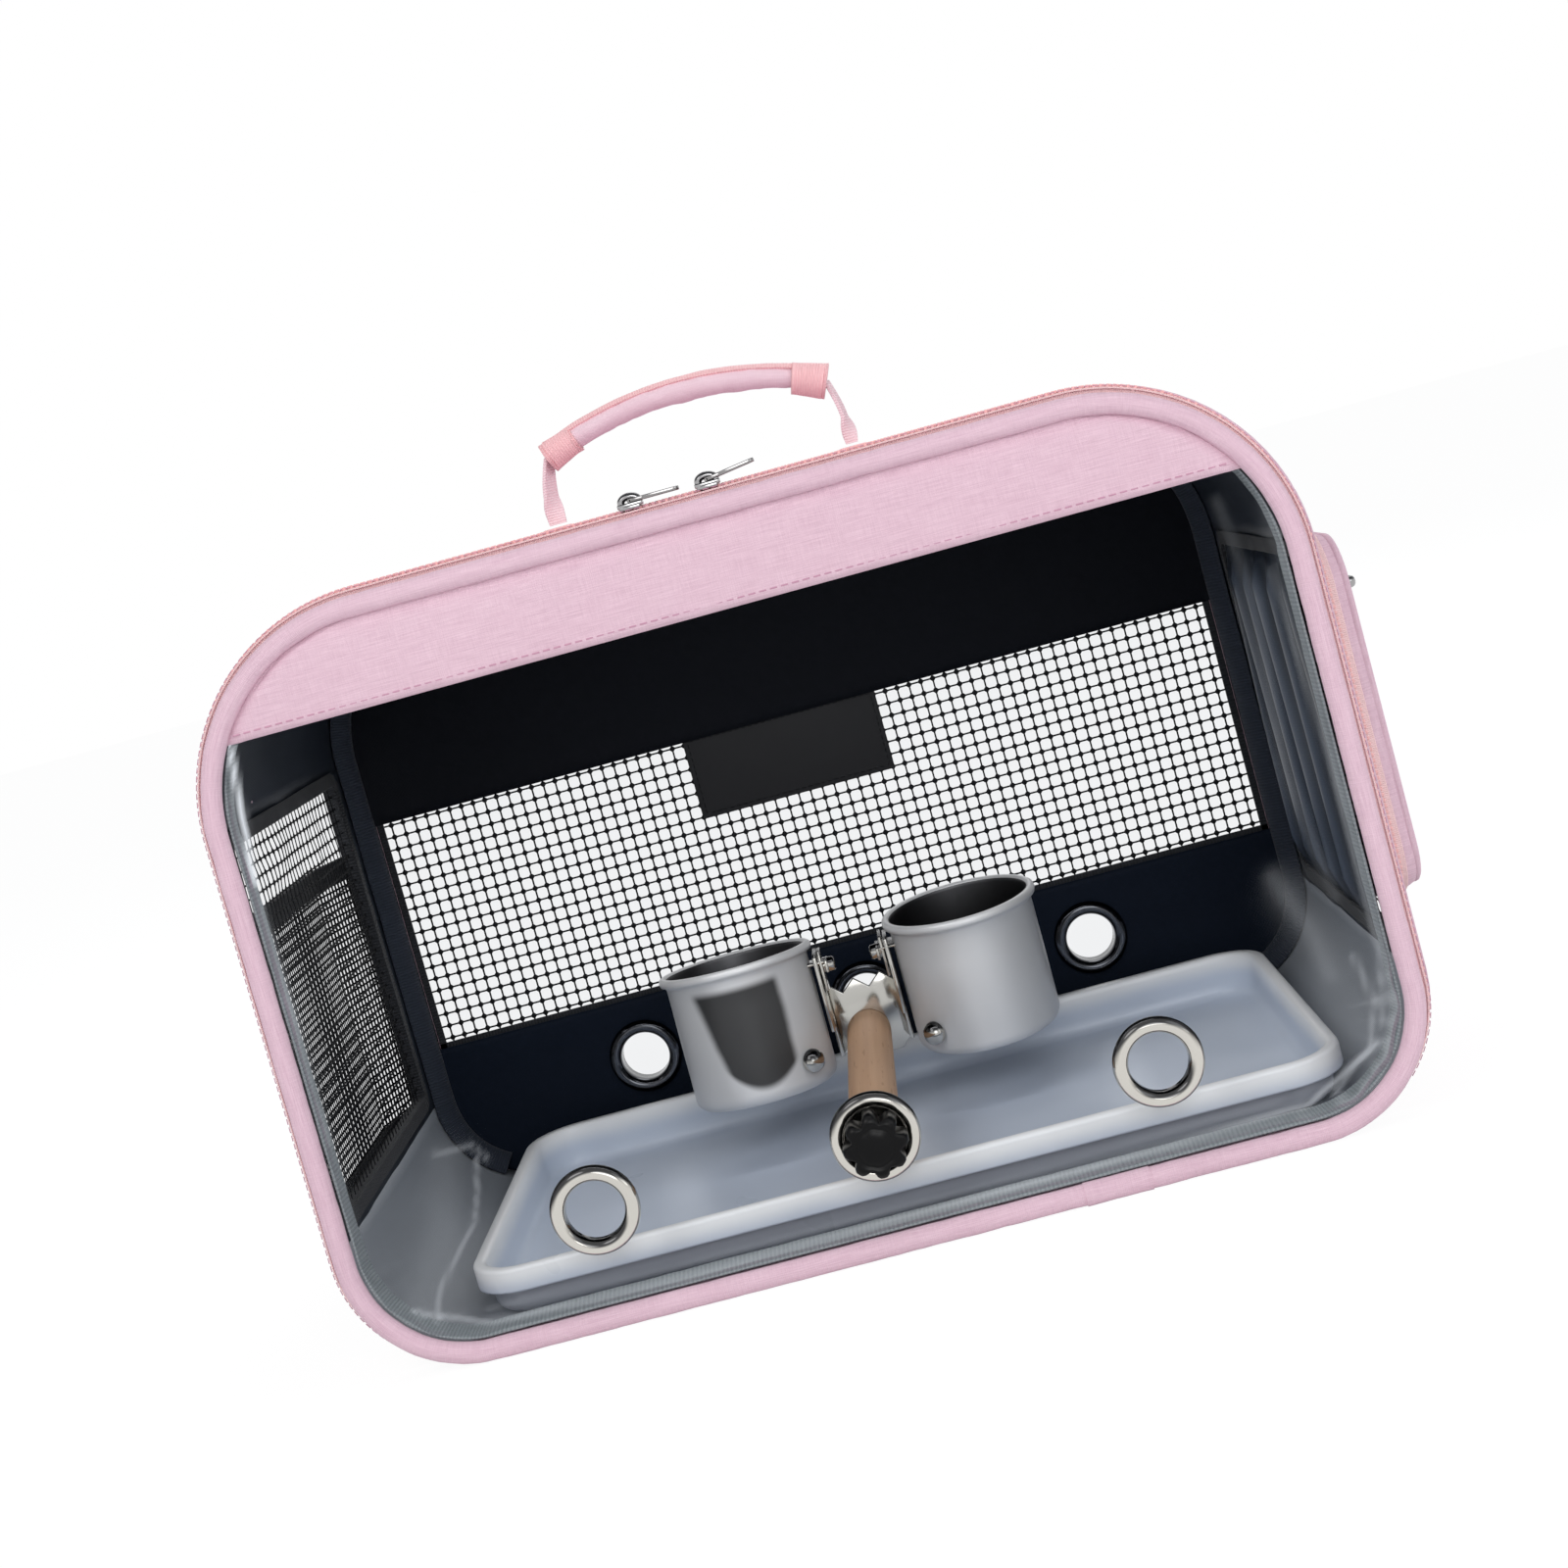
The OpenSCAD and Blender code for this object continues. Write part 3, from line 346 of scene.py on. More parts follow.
def beech(name):
    f = Finish(name, Specular_IOR_Level=0.3)
    figure = f.spots("Object", (330.0, 7.0, 330.0), 4.0, 0.6)
    fleck = f.spots("Object", (700.0, 60.0, 700.0), 2.0)
    ring = f.spots("Object", (60.0, 2.0, 60.0), 2.0)
    tone = (figure * 0.9 + ring * 0.5 - 0.2).held()
    pores = fleck.over(0.62, 0.72)
    f.give(
        Base_Color=f.blend(pores * 0.45, f.blend(tone, ink(170, 130, 100), ink(210, 174, 142)), ink(140, 104, 74)),
        Roughness=figure * 0.2 + 0.48,
        Normal=f.relief(figure + pores * -0.6, 0.0002, 0.5),
    )
    return f.material


def clear_film(name):
    """Clear soft film: lets light through, and shines where it bends or is seen from the side."""
    f = Finish(name, Metallic=1.0, Roughness=0.08)
    smear = f.spots("Object", (5.0, 5.0, 9.0), 3.0)
    ripple = f.spots("Object", (8.0, 8.0, 5.0), 2.0)
    f.give(Base_Color=f.blend(smear, ink(222, 228, 236), ink(240, 244, 250)))
    f.give(Normal=f.relief(ripple, 0.002, 0.4))
    seen = Reading(f, f.put("ShaderNodeLayerWeight", {}, 0.5).outputs[1])
    lie = f.put("ShaderNodeSeparateXYZ", {}, f.places.outputs["Normal"])
    bent = 1 - Reading(f, lie.outputs[1]) * Reading(f, lie.outputs[1])
    clear = f.put("ShaderNodeBsdfTransparent", {}, ink(240, 241, 242))
    # crease: painted highlights along listed lines, where the film shows more of its mirror shader
    crease = Reading(f, f.put("ShaderNodeAttribute", {"attribute_name": "crease"}).outputs["Fac"])
    share = (
        seen ** 3.0 * 0.5 + bent.over(0.012, 0.12) * smear.over(0.3, 0.75) * 0.3 + crease * (smear * 0.5 + 0.75)
        + (smear - 0.6).held() * 0.02
    ).held()
    both = f.put("ShaderNodeMixShader", {}, share, clear.outputs[0], f.skin.outputs[0])
    f.feed(f.exit.inputs[0], both.outputs[0])
    return f.material


LINEN = melange_cloth("linen_pink", ink(231, 201, 213), ink(208, 172, 188), 1.0)
GRIP_LINEN = melange_cloth("linen_pink_grip", ink(240, 214, 223), ink(226, 194, 205), 0.8)
WEBBING = ribbed_tape("webbing_salmon", ink(255, 208, 210), ink(246, 184, 188), 95.0)
LEG_WEBBING = ribbed_tape("webbing_salmon_legs", ink(255, 234, 238), ink(252, 214, 220), 95.0)
ZIP_TAPE = ribbed_tape("zip_tape_peach", ink(255, 222, 222), ink(248, 204, 206), 130.0)
ZIP_TEETH = moulded("zip_teeth_pink", ink(248, 196, 194), ink(234, 168, 168), 0.38)
THREAD = moulded("sewing_thread_pink", ink(206, 156, 178), ink(184, 134, 156), 0.7)
BLACK_THREAD = moulded("sewing_thread_black", ink(30, 31, 34), ink(16, 17, 20), 0.6, Specular_IOR_Level=0.1)
BACK_LINING = lining_cloth("lining_black", ink(24, 26, 32), ink(15, 17, 22), 0.6, 0.05)
# the walls' black lining has more gloss than the back's, and a lighter colour that is painted sheen, as the walls
# shine when seen from the side
WALL_LINING = lining_cloth("lining_black_walls", ink(54, 60, 70), ink(28, 33, 41), 0.42, 0.25)
# the hung pocket lining's deep colour is painted shade between its folds, as its fold attribute says
POCKET_LINING = lining_cloth("lining_slate_pocket", ink(92, 102, 118), ink(18, 22, 30), 0.36, 0.3, 0.0, True)
NAVY_LINING = lining_cloth("lining_navy", ink(24, 32, 45), ink(14, 20, 31), 0.55, 0.06)
GREY_LINING = lining_cloth("lining_grey", ink(166, 171, 178), ink(134, 139, 146), 0.4, 0.3, 0.2)
BINDING = ribbed_tape("binding_grey", ink(150, 157, 160), ink(112, 119, 123), 62.0)
CORNER_TAPE = ribbed_tape("corner_tape_navy", ink(46, 53, 66), ink(26, 32, 43), 75.0)
NET = moulded("net_black", ink(24, 25, 29), ink(10, 11, 14), 0.6, Specular_IOR_Level=0.15)
TRIM = ribbed_tape("elastic_black", ink(38, 40, 46), ink(14, 15, 18), 70.0, 0, 0.62)
PATCH = moulded("patch_black", ink(47, 47, 49), ink(38, 38, 40), 0.5, 420.0, Specular_IOR_Level=0.12)
FILM = clear_film("window_film")
# On the chrome and steel below, shade is painted reflection, darker by each piece's own normal; the pulls' and
# sliders' darker tones and the rear eyelets' dark copy are painted reflection of dark surroundings too.
CHROME = bright_metal("chrome_trim", (214, 211, 204), 0.13, 0.95)
CHROME_PAINTED_REFLECTION = bright_metal("chrome_trim_painted_reflection", (92, 94, 99), 0.14, 0.85)
PULL_CHROME = bright_metal("chrome_pulls", (150, 148, 148), 0.16, 0.75)
SLIDER_CHROME = bright_metal("chrome_sliders", (172, 171, 172), 0.14, 0.97)
BOLT_STEEL = bright_metal("bolt_steel", (206, 206, 208), 0.2, 0.6)
# the cups' steel has painted reflection in upright bands; the left cup's copy adds a painted dark reflection patch on
# its flank
CUP_STEEL = cup_metal("cup_steel", (225, 225, 226), False)
CUP_STEEL_LEFT = cup_metal("cup_steel_left", (232, 232, 233), True)
# a darker copy of the cup steel for the cups' inner faces: painted shade inside the cups
CUP_INSIDE_SHADE = bright_metal("cup_steel_inside_painted_shade", (78, 78, 80), 0.4)
WOOD = beech("beech_dowel")
KNOB = moulded("knob_black", ink(8, 8, 10), ink(4, 4, 5), 0.3, 500.0, Specular_IOR_Level=0.14)
TRAY = frosted("tray_frosted")


# ---------------------------------------------------------------- modelling tools
def turn(axis, degrees):
    return Matrix.Rotation(math.radians(degrees), 4, axis)


def move(x, y, z):
    return Matrix.Translation((x, y, z))


def unit(x):
    """A number kept between 0 and 1."""
    return min(1.0, max(0.0, x))


def station(point, inward, beside=ALONG_Y):
    """Where a profile stands on its path: its first axis points inward, its second beside."""
    a, b = Vector(inward).normalized(), Vector(beside).normalized()
    m = Matrix((a, b, a.cross(b))).transposed().to_4x4()
    m.translation = Vector(point)
    return m


def case_path(outline, step=5.0, tail=None):
    """Stations round the case's outline, from the middle of the base to the right and round.
    With a tail they run from one lower corner over the top to the other, as the zip does."""
    half, height, corner = outline
    c, t = half - CORNER_LOW, half - corner
    arcs = [
        ((c, CORNER_LOW), CORNER_LOW, -90, 0),
        ((t, height - corner), corner, 0, 90),
        ((-t, height - corner), corner, 90, 180),
        ((-c, CORNER_LOW), CORNER_LOW, 180, 270),
    ]
    if tail is not None:
        arcs[0] = (arcs[0][0], CORNER_LOW, -tail, 0)
        arcs[3] = (arcs[3][0], CORNER_LOW, 180, 180 + tail)
    points, last = [], Vector((0, 0, 0))
    if tail is None:
        points.append((Vector((0, 0, 0)), Vector((0, 0, -1))))

    def straight(to, out):
        n = max(1, round((to - last).length / step))
        for k in range(1, n + 1):
            points.append((last.lerp(to, k / n), out))

    for (x, z), r, a0, a1 in arcs:
        n = max(3, round(math.radians(a1 - a0) * r / step))
        for k in range(n + 1):
            a = math.radians(a0 + (a1 - a0) * k / n)
            out = Vector((math.cos(a), 0, math.sin(a)))
            p = Vector((x, 0, z)) + out * r
            if k == 0 and points:
                straight(p, out)
            else:
                points.append((p, out))
        last = points[-1][0]
    if tail is None:
        straight(Vector((0, 0, 0)), Vector((0, 0, -1)))
    return [station(p, -out) for p, out in points]


def box_path(w, d, r, centre, across, up, step=4.0):
    """Closed stations round a rectangle with round corners, w along across and d along up."""
    across, up, centre = Vector(across), Vector(up), Vector(centre)
    beside = across.cross(up)
    made, steps = [], max(4, round(r * math.pi / 2 / step))
    for i, (sx, sy) in enumerate(((1, -1), (1, 1), (-1, 1), (-1, -1))):
        for k in range(steps + 1):
            a = math.radians(-90 + 90 * i + 90 * k / steps)
            out = across * math.cos(a) + up * math.sin(a)
            p = centre + across * sx * (w / 2 - r) + up * sy * (d / 2 - r) + out * r
            if k == 0 and made:
                n = max(1, round((p - made[-1][0]).length / step))
                q = made[-1][0].copy()
                made += [(q.lerp(p, j / n), out) for j in range(1, n)]
            made.append((p, out))
    n = max(1, round((made[0][0] - made[-1][0]).length / step))
    q = made[-1][0].copy()
    made += [(q.lerp(made[0][0], j / n), made[0][1]) for j in range(1, n + 1)]
    return [station(p, -out, beside) for p, out in made]


def sweep(bm, profile, path, closed=True, loop=False, caps=False):
    """Extrudes a profile of (inward, beside) points along a path, and lays the UV map in it."""
    run = bm.verts.layers.float.get("run") or bm.verts.layers.float.new("run")
    across = bm.verts.layers.float.get("across") or bm.verts.layers.float.new("across")
    uv = bm.loops.layers.uv.verify()
    ring, girth = [], 0.0
    for k, (a, b) in enumerate(profile):
        v = bm.verts.new(path[0] @ Vector((a, b, 0)))
        if k:
            girth += math.dist(profile[k - 1], (a, b))
        v[across] = girth
        ring.append(v)
    full = girth + math.dist(profile[-1], profile[0])
    pairs = list(zip(ring, ring[1:])) + ([(ring[-1], ring[0])] if closed else [])
    edges = [bm.edges.new(p) for p in pairs]
    first, made, length = list(edges), [], 0.0
    for k in range(1, len(path)):
        out = bmesh.ops.extrude_edge_only(bm, edges=edges)["geom"]
        verts = [v for v in out if isinstance(v, bmesh.types.BMVert)]
        edges = [e for e in out if isinstance(e, bmesh.types.BMEdge)]
        made += [f for f in out if isinstance(f, bmesh.types.BMFace)]
        bmesh.ops.transform(bm, matrix=path[k] @ path[k - 1].inverted(), verts=verts)
        length += (path[k].translation - path[k - 1].translation).length
        for v in verts:
            v[run] = length
    for face in made:
        wide = max(l.vert[across] for l in face.loops) > full * 0.5 and closed
        for l in face.loops:
            t = l.vert[across] + (full if wide and l.vert[across] < full * 0.25 else 0.0)
            l[uv].uv = (l.vert[run] / 100, t / 100)
    if caps and closed:
        bmesh.ops.holes_fill(bm, edges=first + edges)
    if loop:
        ends = {v for e in first + edges for v in e.verts}
        bmesh.ops.remove_doubles(bm, verts=list(ends), dist=0.02)
    return made


def round_bar(r, segments=12, squash=1.0, at=(0.0, 0.0)):
    """The outline of a round or oval bar, as (inward, beside) points."""
    return [
        (at[0] + r * math.cos(a) * squash, at[1] + r * math.sin(a))
        for a in (2 * math.pi * k / segments for k in range(segments))
    ]


def strip(a0, a1, b0, b1, edge=0.3, cuts=1):
    """The outline of a flat strip with eased edges."""
    made = []
    for k in range(cuts + 1):
        made.append((a0, b0 + edge + (b1 - b0 - 2 * edge) * k / cuts))
    made += [(a0 + edge, b1), (a1 - edge, b1)]
    for k in range(cuts + 1):
        made.append((a1, b1 - edge - (b1 - b0 - 2 * edge) * k / cuts))
    made += [(a1 - edge, b0), (a0 + edge, b0)]
    return made


def lathe(bm, outline, place, segments=64):
    """Spins an outline of (radius, height) points round the place's third axis."""
    verts = [bm.verts.new((r, 0, h)) for r, h in outline]
    edges = [bm.edges.new(p) for p in zip(verts, verts[1:])]
    bmesh.ops.spin(
        bm, geom=verts + edges, cent=(0, 0, 0), axis=(0, 0, 1), angle=2 * math.pi,
        steps=segments, use_merge=True,
    )
    made = [v for v in bm.verts if not v.tag]
    bmesh.ops.remove_doubles(bm, verts=made, dist=0.0005)
    made = [v for v in bm.verts if not v.tag]
    bmesh.ops.transform(bm, matrix=place, verts=made)
    for v in made:
        v.tag = True


def block(bm, size, place, bevel=0.0, segments=2):
    """A box with eased edges."""
    made = bmesh.ops.create_cube(bm, size=1.0)["verts"]
    bmesh.ops.transform(bm, matrix=place @ Matrix.Diagonal((*size, 1)), verts=made)
    if bevel:
        edges = list({e for v in made for e in v.link_edges})
        out = bmesh.ops.bevel(
            bm, geom=edges, offset=bevel, segments=segments, affect="EDGES", profile=0.5, material=-1
        )
        made = list({v for f in out["faces"] for v in f.verts} | {v for v in made if v.is_valid})
    for v in made:
        v.tag = True
    return made


def close_over(bm, rim, centre, rings):
    """Closes a loop of edges with rings that shrink to its middle. A ring is (share, lift)."""
    edges, centre = list(rim), Vector(centre)
    start = {v: v.co.copy() for e in edges for v in e.verts}
    for share, lift in rings:
        out = bmesh.ops.extrude_edge_only(bm, edges=edges)["geom"]
        made = [v for v in out if isinstance(v, bmesh.types.BMVert)]
        base = {tuple(round(c, 4) for c in old.co): first for old, first in start.items()}
        fresh = {}
        for v in made:
            first = base[tuple(round(c, 4) for c in v.co)]
            v.co = centre + (first - centre) * share + Vector(lift)
            fresh[v] = first
        start = fresh
        edges = [e for e in out if isinstance(e, bmesh.types.BMEdge)]
    tips = list({v for e in edges for v in e.verts})
    bmesh.ops.pointmerge(bm, verts=tips, merge_co=sum((v.co for v in tips), Vector()) / len(tips))


def pour(bm, other):
    """Adds another mesh in the making to this one."""
    mesh = bpy.data.meshes.new("poured")
    other.to_mesh(mesh)
    other.free()
    bm.from_mesh(mesh)
    bpy.data.meshes.remove(mesh)


def thicken(bm, faces, by):
    """Pulls flat faces out into a plate: by is the way and how far."""
    out = bmesh.ops.extrude_face_region(bm, geom=faces)["geom"]
    bmesh.ops.translate(bm, vec=by, verts=[g for g in out if isinstance(g, bmesh.types.BMVert)])


def repeat(bm, shape, places):
    """Puts a copy of a small shape at every place."""
    mesh = bpy.data.meshes.new("shape")
    shape.to_mesh(mesh)
    shape.free()
    for place in places:
        before = len(bm.verts)
        bm.from_mesh(mesh)
        bm.verts.ensure_lookup_table()
        bmesh.ops.transform(bm, matrix=place, verts=bm.verts[before:])
    bpy.data.meshes.remove(mesh)


def spaced(path, pitch):
    """Stations at an even pitch along a path."""
    made, left = [], pitch / 2
    for a, b in zip(path, path[1:]):
        length = (b.translation - a.translation).length
        while left <= length and length > 0:
            made.append(a.lerp(b, left / length))
            left += pitch
        left -= length
    return made


def studs(bm, size, bevel, places):
    """The same small eased block at every place."""
    shape = bmesh.new()
    block(shape, size, Matrix.Identity(4), bevel, 1)
    repeat(bm, shape, places)


def stitches(bm, path, at, length, gap, thick):
    """A row of lock stitches along a path, at one (inward, beside) place of its profile."""
    lift = move(at[0], at[1], 0)
    places = [s @ lift for s in spaced(path, length + gap)]
    studs(bm, (thick * 0.7, thick, length), thick * 0.24, places)


def waves(bm, amount, scale, seed=0.0, along=None, where=None):
    """Moves a skin along its own normals by smooth noise, as slack cloth lies."""
    bm.normal_update()
    moves = []
    for v in bm.verts:
        n = noise.noise(v.co * scale + Vector((seed, seed * 1.7, -seed)))
        n += 0.4 * noise.noise(v.co * scale * 2.3 + Vector((-seed, 3.1, seed)))
        k = where(v.co) if where else 1.0
        moves.append((v, (Vector(along) if along else v.normal) * n * amount * k))
    for v, d in moves:
        v.co += d


def outward(bm, rule):
    """Turns a skin over if it faces the wrong way: rule gives the way out at a point."""
    bm.normal_update()
    total = sum(f.normal.dot(rule(f.calc_center_median())) * f.calc_area() for f in bm.faces)
    if total < 0:
        bmesh.ops.reverse_faces(bm, faces=bm.faces)


def from_axis(p):
    """The way out from the middle of the cabin, seen from the front."""
    return Vector((p.x, 0, p.z - 130))


def flat_map(bm, i, j):
    """A UV map laid straight on, from two of the axes."""
    uv = bm.loops.layers.uv.verify()
    for f in bm.faces:
        for l in f.loops:
            l[uv].uv = (l.vert.co[i] / 100, l.vert.co[j] / 100)


def settle(name, bm, finish, body, stands_for=(), closed=True, sharp=38, wall=None, level=0):
    """Finishes a piece: metres, shading, wall thickness, material and body."""
    if closed:
        bmesh.ops.recalc_face_normals(bm, faces=bm.faces)
    bmesh.ops.scale(bm, vec=(0.001, 0.001, 0.001), verts=bm.verts)
    mesh = bpy.data.meshes.new(name)
    bm.to_mesh(mesh)
    bm.free()
    mesh.shade_smooth()
    mesh.set_sharp_from_angle(angle=math.radians(sharp))
    mesh.materials.append(finish)
    obj = bpy.data.objects.new(name, mesh)
    bpy.context.scene.collection.objects.link(obj)
    if wall:
        thick = obj.modifiers.new("thickness", "SOLIDIFY")
        thick.thickness, thick.offset = wall / 1000, -1
    if level:
        soft = obj.modifiers.new("rounding", "SUBSURF")
        soft.levels = soft.render_levels = level
    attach(obj, body)
    if stands_for:
        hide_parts(*stands_for)
    return obj


def swept(name, profile, path, finish, body, slot, nodes=(), wave=(), **how):
    """A piece that is one profile along one path. wave is what waves() is told, if anything."""
    bm = bmesh.new()
    sweep(bm, profile, path, **how)
    if wave:
        waves(bm, *wave)
    return settle(name, bm, finish, body, nodes)


def turned(name, outline, place, segments, finish, slot, node, sharp=38):
    """A piece of the front that is one outline spun round an axis."""
    bm = bmesh.new()
    lathe(bm, outline, place, segments)
    return settle(name, bm, finish, "front_panel", [node], sharp=sharp)


def stitched(name, path, at, size, finish, body):
    """A row of stitches as a piece: size is a stitch's length, the gap after it and its thickness."""
    bm = bmesh.new()
    stitches(bm, path, at, *size)
    return settle(name, bm, finish, body)


def half_at(z, inset=INSET, outline=PIPING):
    """Half width of an outline at a height, inside by inset."""
    half, height, corner = outline
    w, top, low = half - inset, corner - inset, CORNER_LOW - inset
    if z > height - corner:
        s = min(1.0, (z - height + corner) / top)
        return w - top + top * math.sqrt(1 - s * s)
    if z < CORNER_LOW:
        s = min(1.0, (CORNER_LOW - z) / low)
        return w - low + low * math.sqrt(1 - s * s)
    return w


def rows_between(z0, z1, step, inset=INSET, outline=PIPING):
    """Heights for a flat panel's rows, closer together where the outline turns in."""
    made = [z0]
    top, low = outline[1] - inset, inset
    while made[-1] < z1 - 0.01:
        z = made[-1]
        near = min(top - z, z - low)
        made.append(min(z1, z + max(0.4, min(step, 0.5 * near + 0.3 if near < 2 * step else step))))
    return made


def face_panel(bm, y, z0, z1, step, nx, inset=INSET, outline=PIPING):
    """A flat sheet that fills an outline of the case between two heights."""
    rows = rows_between(z0, z1, step, inset, outline)
    made = bmesh.ops.create_grid(bm, x_segments=nx, y_segments=len(rows) - 1, size=0.5)["verts"]
    for v in made:
        z = rows[round((v.co.y + 0.5) * (len(rows) - 1))]
        v.co = Vector((v.co.x * 2 * half_at(z, inset, outline), y, z))
    flat_map(bm, 0, 2)
    return made


def punch(bm, centres, r, band):
    """Opens round holes in a flat sheet: near points move to the rim, and what is inside goes."""
    for x, z in centres:
        c = Vector((x, 0, z))
        for v in bm.verts:
            d = Vector((v.co.x - x, 0, v.co.z - z))
            if 0 < d.length and abs(d.length - r) < band:
                v.co += d.normalized() * (r - d.length)
        inside = [
            f for f in bm.faces
            if (Vector((f.calc_center_median().x, 0, f.calc_center_median().z)) - c).length < r - 0.01
        ]
        bmesh.ops.delete(bm, geom=inside, context="FACES")


def net(bm, w, h, pitch, thread, place):
    """A net with rounded openings, w by h, in the place's first two axes."""
    nx, ny = max(1, round(w / pitch)), max(1, round(h / pitch))
    sheet = bmesh.new()
    verts = bmesh.ops.create_grid(sheet, x_segments=nx, y_segments=ny, size=0.5)["verts"]
    bmesh.ops.scale(sheet, vec=(w, h, 1), verts=verts)
    cells = list(sheet.faces)
    bmesh.ops.inset_individual(sheet, faces=cells, thickness=thread / 2, depth=0)
    corners = list({v for f in cells for v in f.verts})
    bmesh.ops.bevel(
        sheet, geom=corners, offset=(pitch - thread) * 0.2, segments=1, affect="VERTICES",
        profile=0.5, material=-1,
    )
    open_faces = [f for f in sheet.faces if len(f.verts) == 8]
    bmesh.ops.delete(sheet, geom=open_faces, context="FACES")
    bmesh.ops.transform(sheet, matrix=place, verts=sheet.verts)
    pour(bm, sheet)


# ---------------------------------------------------------------- camera, light and floor
camera = bpy.data.objects.new("camera", bpy.data.cameras.new("camera"))
bpy.context.scene.collection.objects.link(camera)
camera.data.lens = 52.69
camera.data.sensor_width = 36.0
camera.data.shift_y = -0.08
camera.data.clip_start, camera.data.clip_end = 0.02, 30.0
camera.rotation_mode = "QUATERNION"
camera.rotation_quaternion = Matrix(
    ((0.96377, 0.02315, -0.26571), (0.2631, 0.08095, 0.96137), (0.04377, -0.99645, 0.07193))
).transposed().to_quaternion()
camera.location = (0.04877, -0.90537, 0.27244)
bpy.context.scene.camera = camera
bpy.context.scene.view_settings.view_transform = "Standard"


def wired(tree, kind, *sockets, **settings):
    """A node with its settings, then the values or links of its sockets."""
    node = tree.nodes.new(kind)
    for key, value in settings.items():
        setattr(node, key, value)
    for socket, value in zip(node.inputs, sockets):
        if isinstance(value, bpy.types.NodeSocket):
            tree.links.new(value, socket)
        elif value is not None:
            socket.default_value = value
    return node


def seen_plainly(tree):
    """1 for rays from the camera, from gloss or through film, and 0 for light on the object."""
    path = tree.nodes.new("ShaderNodeLightPath")
    either = path.outputs["Is Camera Ray"]
    for name in ("Is Glossy Ray", "Is Transmission Ray"):
        either = wired(tree, "ShaderNodeMath", either, path.outputs[name], operation="MAXIMUM").outputs[0]
    return either


world = bpy.data.worlds.new("studio")
bpy.context.scene.world = world
world.use_nodes = True
tree = world.node_tree
tree.nodes.clear()
soft = wired(tree, "ShaderNodeBackground", (0.95, 0.97, 1.0, 1), 0.54)
white = wired(tree, "ShaderNodeBackground", (1, 1, 1, 1), 1.0)
both = wired(tree, "ShaderNodeMixShader", seen_plainly(tree), soft.outputs[0], white.outputs[0])
wired(tree, "ShaderNodeOutputWorld", both.outputs[0])


def lamp(name, place, at, size, watts, tint=(1, 1, 1)):
    data = bpy.data.lights.new(name, "AREA")
    data.shape, data.size, data.energy, data.color = "DISK", size, watts, tint
    obj = bpy.data.objects.new(name, data)
    bpy.context.scene.collection.objects.link(obj)
    obj.location = place
    obj.rotation_mode = "QUATERNION"
    obj.rotation_quaternion = (Vector(at) - Vector(place)).to_track_quat("-Z", "Y")
    return obj


lamp("key_softbox", (-0.9, -1.3, 1.5), (0, 0, 0.12), 0.9, 9.3, (1.0, 0.98, 0.96))
lamp("front_softbox", (0.25, -1.7, 0.75), (0, 0, 0.1), 0.9, 7.6)
lamp("fill_softbox", (1.3, -0.9, 0.9), (0, 0, 0.12), 1.1, 4.2, (0.96, 0.98, 1.0))
lamp("rear_softbox", (0.3, 1.4, 1.3), (0, 0, 0.1), 1.0, 7.5)
# what the pale cloth over the window throws back into the case
bounce = lamp("band_bounce", (0.0, -0.088, 0.252), (0.0, 0.03, 0.04), 0.3, 0.16)
bounce.data.shape, bounce.data.size_y = "RECTANGLE", 0.02

floor_mesh = bpy.data.meshes.new("floor")
bm = bmesh.new()
bmesh.ops.create_grid(bm, x_segments=1, y_segments=1, size=8.0)
bm.to_mesh(floor_mesh)
bm.free()
floor = bpy.data.objects.new("floor", floor_mesh)
bpy.context.scene.collection.objects.link(floor)
floor_finish = bpy.data.materials.new("floor_white")
floor_finish.use_nodes = True
tree = floor_finish.node_tree
tree.nodes.clear()
matt = wired(tree, "ShaderNodeBsdfDiffuse", (0.9, 0.9, 0.9, 1))
glow = wired(tree, "ShaderNodeEmission", None, 1.04)
glowing = wired(tree, "ShaderNodeMath", seen_plainly(tree), 0.9, operation="MULTIPLY")
both = wired(tree, "ShaderNodeMixShader", glowing.outputs[0], matt.outputs[0], glow.outputs[0])
wired(tree, "ShaderNodeOutputMaterial", both.outputs[0])
floor_mesh.materials.append(floor_finish)


# ---------------------------------------------------------------- piping, walls and linings
def piping(name, y, body, node, seed):
    """Cord piping covered in the case's cloth, its ends lapped under the base."""
    bm = bmesh.new()
    path, r = case_path(PIPING, 3.0), 3.85
    sweep(bm, round_bar(r, 14, 1.0, (r, y)), path, loop=True)
    lap = [station((66.0 + 1.5 * k, 0, 0), (0, 0, 1)) for k in range(17)]
    sweep(bm, round_bar(r + 0.38, 14, 1.0, (r, y)), lap, caps=True)
    waves(bm, 0.18, 0.09, seed)
    waves(bm, 0.1, 0.45, seed + 4)
    return settle(name, bm, LINEN, body, [node], sharp=80)


front_piping = piping("front_piping_cord", FRONT_SEAM, "front_panel", "front_piping", 1.0)
rear_piping = piping("back_piping_cord", REAR_SEAM, "case", "back_piping", 2.0)


def case_skin(part, offset, y0, y1, rows):
    """A strip of skin round part of the case: its top or its base; offset is how far inside."""
    path = case_path(WALLS, 6.0)
    z_top, z_low = WALLS[1] - WALLS[2], CORNER_LOW
    if part == "low":
        middle = next(k for k, s in enumerate(path) if s.translation.x < 0 and 1 < s.translation.z <= z_low + 0.01)
        path = [s for s in path[middle:] + path[1:middle] if s.translation.z <= z_low + 0.01]
    else:
        path = [s for s in path if s.translation.z >= z_top - 0.01]
    bm = bmesh.new()
    ys = [y0 + (y1 - y0) * k / rows for k in range(rows + 1)]
    sweep(bm, [(offset, y) for y in ys], path, closed=False)
    return bm


WINDOW_Y, WINDOW_Z = 84.0, (55.0, 200.0)
WINDOW_W, WINDOW_H, WINDOW_MID = 168.0, 145.0, 127.5


